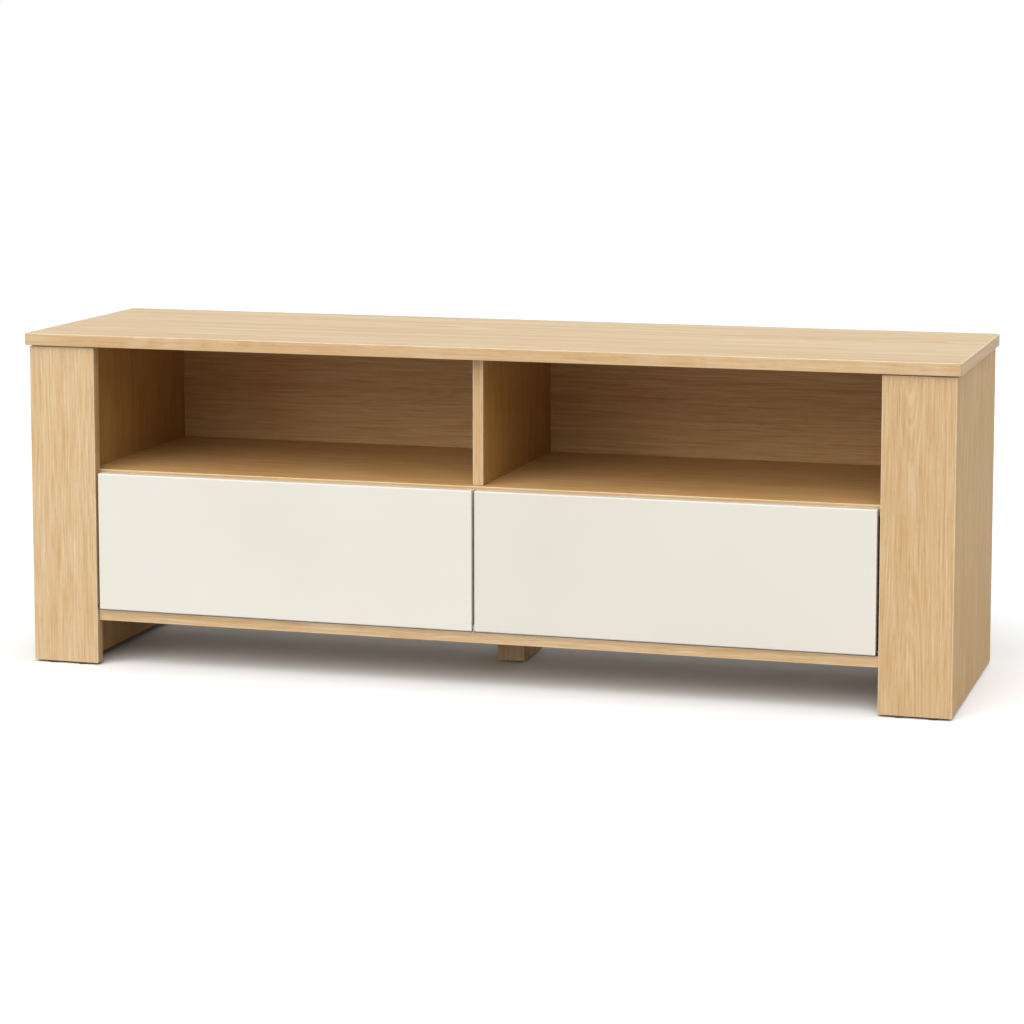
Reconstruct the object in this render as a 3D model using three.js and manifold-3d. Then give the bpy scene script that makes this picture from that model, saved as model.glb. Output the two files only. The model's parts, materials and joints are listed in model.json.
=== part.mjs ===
// A low media bench with two box legs, two open bays above and two drop-down flaps below.
// Millimetres, +Z up, front faces -Y. The origin is on the floor at the middle of the footprint.
import * as THREE from 'three';
import { mergeVertices } from 'three/addons/utils/BufferGeometryUtils.js';
import Module from 'manifold-3d';

const wasm = await Module();
wasm.setup();

// ---------------------------------------------------------------- driving dimensions
const WIDTH = 1400;
const DEPTH = 405;
const HEIGHT = 500;

const TOP_BOARD = 18;
const BOARD = 16;
const POST_BOARD = 18;
const BACK_BOARD = 3;

const OVERHANG = 6; // of the top, past the legs at both ends and at the front
const LEG_WIDTH = 104;
const INNER_PANEL_STEP = 16; // the leg's inner panel stands back from the post's inner edge
const INNER_PANEL_LIFT = 7; // and ends this much above the post's foot
const GLIDE_HEIGHT = 3;
const GLIDE_RADIUS = 9;
const GLIDE_FROM_POST_EDGE = 28;
const REAR_GLIDE_SPREAD = 18;

const FLOOR_TO_BOTTOM_PANEL = 68;
const BOTTOM_PANEL_SETBACK = 7;
const SHELF_TOP = 296;
const UPPER_DIVIDER_SETBACK = 26;
const LOWER_DIVIDER_SETBACK = 42;
const BACK_PANEL_INSET = 10; // from the rear edge of the legs to the back panels

const FLAP_THICKNESS = 16;
const FLAP_HEIGHT = 206;
const FLAP_GAP_BELOW = 2;
const FLAP_GAP_SIDE = 4;
const FLAP_GAP_MIDDLE = 4;
const FLAP_EDGE_RADIUS = 2;
const SHELF_BEHIND_FLAP = 2;

const CENTRE_LEG_WIDTH = 42;
const CENTRE_LEG_DEPTH = 110;
const CENTRE_LEG_SETBACK = 194;
const CENTRE_LEG_GLIDE_OFFSET = 8;
const CENTRE_LEG_GLIDE_INSET = 18;

// The flap turns on steel pins close to its lower front edge.
const PIVOT_FROM_FACE = 5;
const PIVOT_FROM_EDGE = 5;
const PIVOT_RADIUS = 2;
const PIVOT_IN_FLAP = 15;
const BUSH_RADIUS = 3.5;
const BUSH_LENGTH = 10;
const CLEARANCE = 0.3;

// Slotted stay: the flap's pin and the wall's stud lie on one circle about the flap's pivot,
// so the arm turns through exactly half of the flap's angle.
const STAY_PIN_FROM_FLAP = 12;
const STAY_PIN_HEIGHT = 110; // above the pivot
const STAY_STUD_ANGLE = THREE.MathUtils.degToRad(55); // above the horizontal, seen from the pivot
const STAY_ARM_THICKNESS = 2;
const STAY_ARM_WIDTH = 14;
const STAY_PIN_RADIUS = 2;
const STAY_FROM_FLAP_END = 6; // from the flap's outer end to the arm's outer face
const STAY_FROM_DIVIDER = 7; // from the divider's face to the arm's near face
const FLAP_OPENING = Math.PI / 2;

const LATCH_WIDTH = 14;
const LATCH_HEIGHT = 14;
const LATCH_LENGTH = 58;
const PLUNGER_RADIUS = 4;
const STRIKE_THICKNESS = 1;
const STRIKE_RADIUS = 8;

const BUMPER_RADIUS = 4;
const BUMPER_THICKNESS = 1.7;
const BUMPER_FROM_FLAP_END = 40;

// ---------------------------------------------------------------- derived planes
const FRONT = -DEPTH / 2 + OVERHANG; // front face of the legs and flaps
const REAR = DEPTH / 2;
const TOP_UNDERSIDE = HEIGHT - TOP_BOARD;
const LEG_OUTER = WIDTH / 2 - OVERHANG;
const LEG_INNER = LEG_OUTER - LEG_WIDTH;
const WALL = LEG_INNER + INNER_PANEL_STEP; // inner face of each bay's side wall
const BACK = REAR - BACK_PANEL_INSET - BACK_BOARD; // front face of the back panels
const BOTTOM_TOP = FLOOR_TO_BOTTOM_PANEL + BOARD;
const SHELF_UNDERSIDE = SHELF_TOP - BOARD;
const FLAP_BOTTOM = BOTTOM_TOP + FLAP_GAP_BELOW;
const FLAP_BACK = FRONT + FLAP_THICKNESS;
const FLAP_INNER = FLAP_GAP_MIDDLE / 2;
const FLAP_OUTER = LEG_INNER - FLAP_GAP_SIDE;
const SHELF_FRONT = FLAP_BACK + SHELF_BEHIND_FLAP;
const PIVOT_Y = FRONT + PIVOT_FROM_FACE;
const PIVOT_Z = FLAP_BOTTOM + PIVOT_FROM_EDGE;

// ---------------------------------------------------------------- materials
const finish = (color, roughness, metalness = 0) => () =>
  new THREE.MeshStandardMaterial({ color, roughness, metalness });
const oakFoil = finish(0xdcbb8c, 0.55);
const whiteLacquer = finish(0xeae6dc, 0.5);
const steel = finish(0xb9bcbf, 0.35, 1);
const nylon = finish(0x2b2b2b, 0.6);
const paleNylon = finish(0xe2e2de, 0.5);
const clearRubber = finish(0xd8dad8, 0.4);

// ---------------------------------------------------------------- helpers
const bench = new THREE.Group();

function add(name, geometry, material) {
  const mesh = new THREE.Mesh(geometry, material());
  mesh.name = name;
  bench.add(mesh);
  return mesh;
}

// A square-edged board between two corners.
function boardGeometry([x0, x1], [y0, y1], [z0, z1]) {
  const geometry = new THREE.BoxGeometry(x1 - x0, y1 - y0, z1 - z0);
  return geometry.translate((x0 + x1) / 2, (y0 + y1) / 2, (z0 + z1) / 2);
}

function board(name, x, y, z, material = oakFoil) {
  return add(name, boardGeometry(x, y, z), material);
}

// An outline of [u, v] points, extruded by length. holes are outlines too.
function extrude(outline, length, holes = []) {
  const shape = outline instanceof THREE.Shape ? outline : polygon(outline);
  shape.holes.push(...holes);
  return new THREE.ExtrudeGeometry(shape, { depth: length, bevelEnabled: false, curveSegments: 6 });
}

function polygon(points) {
  return new THREE.Shape(points.map(([u, v]) => new THREE.Vector2(u, v)));
}

// Turns an extrusion so that its outline lies in Y (across) and Z (up) and its length runs along +X.
function alongX(geometry, x, y, z) {
  const basis = new THREE.Matrix4().makeBasis(
    new THREE.Vector3(0, 1, 0),
    new THREE.Vector3(0, 0, 1),
    new THREE.Vector3(1, 0, 0),
  );
  return geometry.applyMatrix4(basis).translate(x, y, z);
}

// A turned piece from a closed [radius, height] profile, its axis along +X, +Y or +Z.
function turned(profile, axis, [x, y, z], sides = 24) {
  const geometry = new THREE.LatheGeometry(profile.map(([r, h]) => new THREE.Vector2(r, h)), sides);
  if (axis === 'x') geometry.rotateZ(-Math.PI / 2);
  if (axis === '-x') geometry.rotateZ(Math.PI / 2);
  if (axis === '-y') geometry.rotateZ(Math.PI);
  if (axis === 'z') geometry.rotateX(Math.PI / 2);
  return geometry.translate(x, y, z);
}

const rod = (radius, length) => [[0, 0], [radius, 0], [radius, length], [0, length]];

function toSolid(geometry) {
  const bare = geometry.clone();
  bare.deleteAttribute('normal');
  bare.deleteAttribute('uv');
  const welded = mergeVertices(bare, 1e-4);
  return new wasm.Manifold(
    new wasm.Mesh({
      numProp: 3,
      vertProperties: welded.attributes.position.array,
      triVerts: Uint32Array.from(welded.index.array),
    }),
  );
}

function toGeometry(solid) {
  const mesh = solid.getMesh();
  const geometry = new THREE.BufferGeometry();
  geometry.setAttribute('position', new THREE.BufferAttribute(mesh.vertProperties, 3));
  geometry.setIndex(new THREE.BufferAttribute(mesh.triVerts, 1));
  geometry.computeVertexNormals();
  return geometry;
}

const cut = (base, ...tools) =>
  toGeometry(tools.reduce((solid, tool) => solid.subtract(toSolid(tool)), toSolid(base)));
const join = (base, ...pieces) =>
  toGeometry(pieces.reduce((solid, piece) => solid.add(toSolid(piece)), toSolid(base)));

// A span on the positive side, or its mirror image on the negative side.
const onSide = (side, near, far) => (side > 0 ? [near, far] : [-far, -near]);

const SIDES = [
  { label: 'left', side: -1 },
  { label: 'right', side: 1 },
];

// ---------------------------------------------------------------- carcass
function buildCarcass() {
  board('top_panel', [-WIDTH / 2, WIDTH / 2], [-DEPTH / 2, REAR], [TOP_UNDERSIDE, HEIGHT]);
  add('bottom_panel', bottomPanelGeometry(), oakFoil);
  board('shelf', [-WALL, WALL], [SHELF_FRONT, BACK], [SHELF_UNDERSIDE, SHELF_TOP]);
  const half = BOARD / 2;
  board('upper_divider', [-half, half], [FRONT + UPPER_DIVIDER_SETBACK, BACK], [SHELF_TOP, TOP_UNDERSIDE]);
  board('lower_divider', [-half, half], [FRONT + LOWER_DIVIDER_SETBACK, BACK], [BOTTOM_TOP, SHELF_UNDERSIDE]);
  const seam = SHELF_TOP - BOARD / 2;
  const behind = [BACK, BACK + BACK_BOARD];
  board('upper_back_panel', [-WALL, WALL], behind, [seam, TOP_UNDERSIDE]);
  board('lower_back_panel', [-WALL, WALL], behind, [FLOOR_TO_BOTTOM_PANEL, seam]);
}

// The bottom panel fills the bay behind the posts, and its nose comes forward between them.
function bottomPanelGeometry() {
  const postBack = FRONT + POST_BOARD;
  const outline = polygon([
    [-LEG_INNER, FRONT + BOTTOM_PANEL_SETBACK],
    [LEG_INNER, FRONT + BOTTOM_PANEL_SETBACK],
    [LEG_INNER, postBack],
    [WALL, postBack],
    [WALL, BACK],
    [-WALL, BACK],
    [-WALL, postBack],
    [-LEG_INNER, postBack],
  ]);
  return extrude(outline, BOARD).translate(0, 0, FLOOR_TO_BOTTOM_PANEL);
}

// ---------------------------------------------------------------- legs
// Each leg is a tall hollow box: a front post mitred to the outer panel, an inner panel and a rear post.
function buildLeg({ label, side }) {
  const height = TOP_UNDERSIDE - GLIDE_HEIGHT;
  const mirror = (points) => (side > 0 ? points : points.map(([x, y]) => [-x, y]).reverse());
  const post = extrude(
    mirror([
      [LEG_INNER, FRONT],
      [LEG_OUTER, FRONT],
      [LEG_OUTER - BOARD, FRONT + BOARD],
      [LEG_OUTER - BOARD, FRONT + POST_BOARD],
      [LEG_INNER, FRONT + POST_BOARD],
    ]),
    height,
  ).translate(0, 0, GLIDE_HEIGHT);
  const bushHole = turned(
    rod(BUSH_RADIUS + CLEARANCE, BUSH_LENGTH + CLEARANCE + 1),
    side > 0 ? 'x' : '-x',
    [side * (LEG_INNER - 1), PIVOT_Y, PIVOT_Z],
  );
  add(`${label}_front_post`, cut(post, bushHole), oakFoil);

  const outer = mirror([
    [LEG_OUTER, FRONT],
    [LEG_OUTER, REAR],
    [LEG_OUTER - BOARD, REAR],
    [LEG_OUTER - BOARD, FRONT + BOARD],
  ]);
  add(`${label}_outer_panel`, extrude(outer, height).translate(0, 0, GLIDE_HEIGHT), oakFoil);

  const inside = [FRONT + POST_BOARD, REAR];
  board(
    `${label}_inner_panel`,
    onSide(side, WALL, WALL + BOARD),
    inside,
    [GLIDE_HEIGHT + INNER_PANEL_LIFT, TOP_UNDERSIDE],
  );
  board(
    `${label}_rear_post`,
    onSide(side, WALL + BOARD, LEG_OUTER - BOARD),
    [REAR - POST_BOARD, REAR],
    [GLIDE_HEIGHT, TOP_UNDERSIDE],
  );
  buildLegGlides(label, side);
}

// ---------------------------------------------------------------- glides and centre leg
// A nail-on glide: a flat disc with an eased lower rim.
function glide(name, x, y) {
  const rim = 1;
  const profile = [
    [0, 0],
    [GLIDE_RADIUS - rim, 0],
    [GLIDE_RADIUS, rim],
    [GLIDE_RADIUS, GLIDE_HEIGHT],
    [0, GLIDE_HEIGHT],
  ];
  add(name, turned(profile, 'z', [x, y, 0]), nylon);
}

function buildLegGlides(label, side) {
  const postMiddle = FRONT + POST_BOARD / 2;
  glide(`${label}_front_inner_glide`, side * (LEG_INNER + GLIDE_FROM_POST_EDGE), postMiddle);
  glide(`${label}_front_outer_glide`, side * (LEG_OUTER - GLIDE_FROM_POST_EDGE), postMiddle);
  const rearCentre = (WALL + LEG_OUTER) / 2;
  glide(`${label}_rear_inner_glide`, side * (rearCentre - REAR_GLIDE_SPREAD), REAR - POST_BOARD / 2);
  glide(`${label}_rear_outer_glide`, side * (rearCentre + REAR_GLIDE_SPREAD), REAR - POST_BOARD / 2);
}

function buildCentreLeg() {
  const half = CENTRE_LEG_WIDTH / 2;
  const front = FRONT + CENTRE_LEG_SETBACK;
  const rear = front + CENTRE_LEG_DEPTH;
  board('centre_leg', [-half, half], [front, rear], [GLIDE_HEIGHT, FLOOR_TO_BOTTOM_PANEL]);
  glide('centre_leg_front_glide', CENTRE_LEG_GLIDE_OFFSET, front + CENTRE_LEG_GLIDE_INSET);
  glide('centre_leg_rear_glide', -CENTRE_LEG_GLIDE_OFFSET, rear - CENTRE_LEG_GLIDE_INSET);
}

// ---------------------------------------------------------------- flaps and their pivots
function flapOutline() {
  const [w, h, r] = [FLAP_THICKNESS, FLAP_HEIGHT, FLAP_EDGE_RADIUS];
  const shape = new THREE.Shape();
  shape.moveTo(r, 0);
  shape.lineTo(w - r, 0);
  shape.absarc(w - r, r, r, -Math.PI / 2, 0);
  shape.lineTo(w, h - r);
  shape.absarc(w - r, h - r, r, 0, Math.PI / 2);
  shape.lineTo(r, h);
  shape.absarc(r, h - r, r, Math.PI / 2, Math.PI);
  shape.lineTo(0, r);
  shape.absarc(r, r, r, Math.PI, Math.PI * 1.5);
  return shape;
}

function buildFlap({ label, side }) {
  const span = onSide(side, FLAP_INNER, FLAP_OUTER);
  const panel = alongX(extrude(flapOutline(), span[1] - span[0]), span[0], FRONT, FLAP_BOTTOM);
  const outward = side > 0 ? 'x' : '-x';
  const inward = side > 0 ? '-x' : 'x';
  const pinHole = turned(
    rod(PIVOT_RADIUS + CLEARANCE, PIVOT_IN_FLAP + CLEARANCE + 1),
    inward,
    [side * (FLAP_OUTER + 1), PIVOT_Y, PIVOT_Z],
  );
  const bushHole = turned(
    rod(BUSH_RADIUS + CLEARANCE, PIVOT_IN_FLAP + CLEARANCE + 1),
    outward,
    [side * (FLAP_INNER - 1), PIVOT_Y, PIVOT_Z],
  );
  add(`${label}_flap`, cut(panel, pinHole, bushHole), whiteLacquer);

  const pinLength = PIVOT_IN_FLAP + FLAP_GAP_SIDE + BUSH_LENGTH - 2 * CLEARANCE;
  add(
    `${label}_pivot_pin`,
    turned(rod(PIVOT_RADIUS, pinLength), outward, [side * (FLAP_OUTER - PIVOT_IN_FLAP), PIVOT_Y, PIVOT_Z]),
    steel,
  );
  const bush = ringProfile(PIVOT_RADIUS + CLEARANCE, BUSH_RADIUS, BUSH_LENGTH);
  add(`${label}_post_bush`, turned(bush, outward, [side * LEG_INNER, PIVOT_Y, PIVOT_Z]), paleNylon);
  const flapBush = ringProfile(PIVOT_RADIUS + CLEARANCE, BUSH_RADIUS, PIVOT_IN_FLAP);
  add(`${label}_flap_bush`, turned(flapBush, outward, [side * FLAP_INNER, PIVOT_Y, PIVOT_Z]), paleNylon);
}

const ringProfile = (inner, outer, length) => [
  [inner, 0],
  [outer, 0],
  [outer, length],
  [inner, length],
  [inner, 0],
];

// Between the flaps: a foot plate on the bottom panel, and a tab with a pin for each flap.
function buildCentreBracket() {
  const plate = 2;
  const tabThickness = 2;
  const footHalf = 20;
  const footDepth = 21;
  const tabTop = PIVOT_Z + 5;
  const pinReach = FLAP_INNER + PIVOT_IN_FLAP - CLEARANCE;
  const footFront = FLAP_BACK + 2;
  const foot = boardGeometry([-footHalf, footHalf], [footFront, footFront + footDepth], [BOTTOM_TOP, BOTTOM_TOP + plate]);
  const tab = boardGeometry(
    [-tabThickness / 2, tabThickness / 2],
    [PIVOT_Y - PIVOT_RADIUS, footFront + footDepth],
    [BOTTOM_TOP + CLEARANCE, tabTop],
  );
  const pins = turned(rod(PIVOT_RADIUS, 2 * pinReach), 'x', [-pinReach, PIVOT_Y, PIVOT_Z]);
  const screwHoles = [-1, 1].map((end) =>
    turned(rod(1.8, plate + 2), 'z', [end * 13, footFront + footDepth / 2, BOTTOM_TOP - 1], 16));
  add('centre_pivot_bracket', cut(join(foot, tab, pins), ...screwHoles), steel);
}

// ---------------------------------------------------------------- slotted stays
const stay = (() => {
  const y = FLAP_THICKNESS - PIVOT_FROM_FACE + STAY_PIN_FROM_FLAP;
  const radius = Math.hypot(y, STAY_PIN_HEIGHT);
  const pinAngle = Math.atan2(STAY_PIN_HEIGHT, y);
  const chord = (opening) => 2 * radius * Math.sin((pinAngle + opening - STAY_STUD_ANGLE) / 2);
  return {
    pin: [PIVOT_Y + y, PIVOT_Z + STAY_PIN_HEIGHT],
    stud: [
      PIVOT_Y + radius * Math.cos(STAY_STUD_ANGLE),
      PIVOT_Z + radius * Math.sin(STAY_STUD_ANGLE),
    ],
    slope: (pinAngle + STAY_STUD_ANGLE) / 2 - Math.PI / 2,
    nearest: chord(0),
    farthest: chord(FLAP_OPENING),
  };
})();

// A flat bar with round ends, an eye at the flap's pin and a slot for the wall's stud.
function stayArmGeometry() {
  const half = STAY_ARM_WIDTH / 2;
  const hole = STAY_PIN_RADIUS + CLEARANCE;
  const end = stay.farthest + hole - STAY_PIN_RADIUS;
  const bar = new THREE.Shape();
  bar.absarc(0, 0, half, Math.PI / 2, Math.PI * 1.5);
  bar.lineTo(end, -half);
  bar.absarc(end, 0, half, -Math.PI / 2, Math.PI / 2);
  bar.closePath();
  const eye = new THREE.Path();
  eye.absarc(0, 0, hole, 0, Math.PI * 2, true);
  const slot = new THREE.Path();
  const slotStart = stay.nearest - 2 * CLEARANCE;
  slot.moveTo(slotStart, -hole);
  slot.absarc(slotStart, 0, hole, -Math.PI / 2, Math.PI / 2, true);
  slot.lineTo(end, hole);
  slot.absarc(end, 0, hole, Math.PI / 2, -Math.PI / 2, true);
  slot.closePath();
  return extrude(bar, STAY_ARM_THICKNESS, [eye, slot]).rotateZ(stay.slope);
}

// arm: the X of the arm's middle; wall: the X of the face that carries the stud.
function buildStay(name, arm, wall) {
  const half = STAY_ARM_THICKNESS / 2;
  const toWall = Math.sign(wall - arm);
  const axis = toWall > 0 ? 'x' : '-x';
  const back = toWall > 0 ? '-x' : 'x';
  add(`${name}_stay_arm`, alongX(stayArmGeometry(), arm - half, ...stay.pin), steel);

  // On the flap: a foot plate, and an ear that carries the arm's pin.
  const gap = 1;
  const ear = 2;
  const plate = 2;
  const nearFace = arm - toWall * (half + gap);
  const earX = onSide(toWall, toWall * nearFace - ear, toWall * nearFace);
  const footX = onSide(toWall, toWall * nearFace - 12, toWall * nearFace);
  const [pinY, pinZ] = stay.pin;
  const foot = boardGeometry(footX, [FLAP_BACK, FLAP_BACK + plate], [pinZ - 16, pinZ + 16]);
  const earBoard = boardGeometry(earX, [FLAP_BACK, pinY + 5], [pinZ - 6, pinZ + 6]);
  const pinStart = nearFace - toWall;
  const pin = turned(rod(STAY_PIN_RADIUS, gap + STAY_ARM_THICKNESS + 2), axis, [pinStart, pinY, pinZ], 16);
  add(`${name}_stay_bracket`, join(foot, earBoard, pin), steel);

  // On the wall: a flanged stud whose neck runs in the slot and whose head keeps the arm on.
  const reach = Math.abs(wall - arm);
  const flange = 2;
  const profile = [
    [0, 0],
    [7, 0],
    [7, flange],
    [4.5, flange],
    [4.5, reach - half - 0.5],
    [STAY_PIN_RADIUS, reach - half - 0.5],
    [STAY_PIN_RADIUS, reach + half + 0.5],
    [4, reach + half + 0.5],
    [4, reach + half + 1.5],
    [0, reach + half + 1.5],
  ];
  add(`${name}_stay_stud`, turned(profile, back, [wall, ...stay.stud], 20), steel);
}

function buildStays({ label, side }) {
  const outerArm = side * (FLAP_OUTER - STAY_FROM_FLAP_END - STAY_ARM_THICKNESS / 2);
  const innerArm = side * (BOARD / 2 + STAY_FROM_DIVIDER + STAY_ARM_THICKNESS / 2);
  buildStay(`${label}_outer`, outerArm, side * WALL);
  buildStay(`${label}_inner`, innerArm, (side * BOARD) / 2);
}

// ---------------------------------------------------------------- push latches and bumpers
function buildLatch({ label, side }) {
  const x = (side * (FLAP_INNER + FLAP_OUTER)) / 2;
  const z = SHELF_UNDERSIDE - LATCH_HEIGHT / 2;
  const bodyFront = FLAP_BACK + 6;
  const half = LATCH_WIDTH / 2;
  const housing = boardGeometry(
    [x - half, x + half],
    [bodyFront, bodyFront + LATCH_LENGTH],
    [SHELF_UNDERSIDE - LATCH_HEIGHT, SHELF_UNDERSIDE],
  );
  const stroke = 20;
  const bore = turned(rod(PLUNGER_RADIUS + CLEARANCE, stroke + 6), 'y', [x, bodyFront - 1, z]);
  add(`${label}_latch_housing`, cut(housing, bore), paleNylon);

  const tip = FLAP_BACK + STRIKE_THICKNESS + CLEARANCE;
  const plunger = [
    [0, 0],
    [PLUNGER_RADIUS - 1, 0],
    [PLUNGER_RADIUS, 1],
    [PLUNGER_RADIUS, stroke],
    [0, stroke],
  ];
  add(`${label}_latch_plunger`, turned(plunger, 'y', [x, tip, z]), nylon);
  add(`${label}_strike_plate`, turned(rod(STRIKE_RADIUS, STRIKE_THICKNESS), 'y', [x, FLAP_BACK, z]), steel);
}

function buildBumpers({ label, side }) {
  const z = (SHELF_UNDERSIDE + FLAP_BOTTOM + FLAP_HEIGHT) / 2;
  const pad = rod(BUMPER_RADIUS, BUMPER_THICKNESS);
  const ends = { inner: FLAP_INNER + BUMPER_FROM_FLAP_END, outer: FLAP_OUTER - BUMPER_FROM_FLAP_END };
  for (const [end, x] of Object.entries(ends)) {
    add(`${label}_${end}_bumper`, turned(pad, '-y', [side * x, SHELF_FRONT, z], 16), clearRubber);
  }
}

// ---------------------------------------------------------------- assembly
buildCarcass();
SIDES.forEach(buildLeg);
buildCentreLeg();
buildCentreBracket();
for (const one of SIDES) {
  buildFlap(one);
  buildStays(one);
  buildLatch(one);
  buildBumpers(one);
}

export default bench;
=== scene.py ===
"""Finishes, eased boards, fixings and studio for a low media bench with two drop-down flaps.

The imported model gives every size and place, in metres. Each sub-assembly is a class that makes its own
meshes around that frame, dresses them, and hands them to the body that they move with.
"""

import json
import logging
import math
from collections.abc import Callable, Iterable, Sequence
from dataclasses import dataclass, field, replace
from enum import Enum

import bmesh
import bpy
from mathutils import Euler, Matrix, Vector

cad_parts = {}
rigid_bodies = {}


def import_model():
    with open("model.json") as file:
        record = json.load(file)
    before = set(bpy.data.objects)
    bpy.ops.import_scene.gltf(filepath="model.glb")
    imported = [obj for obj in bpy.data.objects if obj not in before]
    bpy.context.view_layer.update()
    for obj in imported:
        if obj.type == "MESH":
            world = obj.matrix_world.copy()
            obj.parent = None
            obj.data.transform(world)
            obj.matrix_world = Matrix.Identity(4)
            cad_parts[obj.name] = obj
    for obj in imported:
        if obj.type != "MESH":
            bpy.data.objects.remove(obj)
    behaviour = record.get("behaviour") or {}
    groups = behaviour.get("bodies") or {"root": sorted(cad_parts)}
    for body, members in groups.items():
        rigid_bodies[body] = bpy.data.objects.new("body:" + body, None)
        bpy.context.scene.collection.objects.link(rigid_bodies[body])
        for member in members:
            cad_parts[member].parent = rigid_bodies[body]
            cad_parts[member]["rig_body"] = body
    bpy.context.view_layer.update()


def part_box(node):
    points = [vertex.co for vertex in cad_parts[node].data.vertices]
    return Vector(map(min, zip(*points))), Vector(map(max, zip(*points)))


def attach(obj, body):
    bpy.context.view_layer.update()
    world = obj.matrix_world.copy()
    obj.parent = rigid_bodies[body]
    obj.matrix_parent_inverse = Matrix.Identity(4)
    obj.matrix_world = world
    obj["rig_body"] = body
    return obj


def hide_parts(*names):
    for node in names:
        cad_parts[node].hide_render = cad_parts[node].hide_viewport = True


MM = 0.001
ARRIS = "arris"  # face attribute: 1 on the rounded edges of a piece, 0 on its flats
FACING = "facing"  # point attribute: the way a fixing's head looks
UP = 2  # the Z axis
SHARP_FROM = math.radians(40.0)  # edges that turn more than this are sharp
FLAT_WITHIN = math.radians(0.5)  # triangles that turn less than this are one flat face
WELD = 0.005 * MM
ON_PLANE = 0.001 * MM
BORE_SIDES = 32
BAND_SEED_STEP = 40.0
BAND_RING_SHARE = 0.5

log = logging.getLogger("bench")
Socket = bpy.types.NodeSocket
BMesh = bmesh.types.BMesh
Value = float | Sequence[float] | Socket
Colour = tuple[float, float, float]


def solid(colour: Colour) -> tuple[float, float, float, float]:
    """Returns a colour with full opacity."""
    return (*colour, 1.0)


# ---------------------------------------------------------------- node building
@dataclass(frozen=True)
class Pattern:
    """A noise: how fine it is along each axis, and which part of its range shows."""

    cells: tuple[float, float, float]  # per metre along each axis
    layers: float = 2.0  # finer layers on top
    roughness: float = 0.5  # how strong the finer layers are
    seed: float = 0.0
    shown: tuple[float, float] | None = None  # this part of the noise becomes least to 1
    least: float = 0.0


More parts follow.
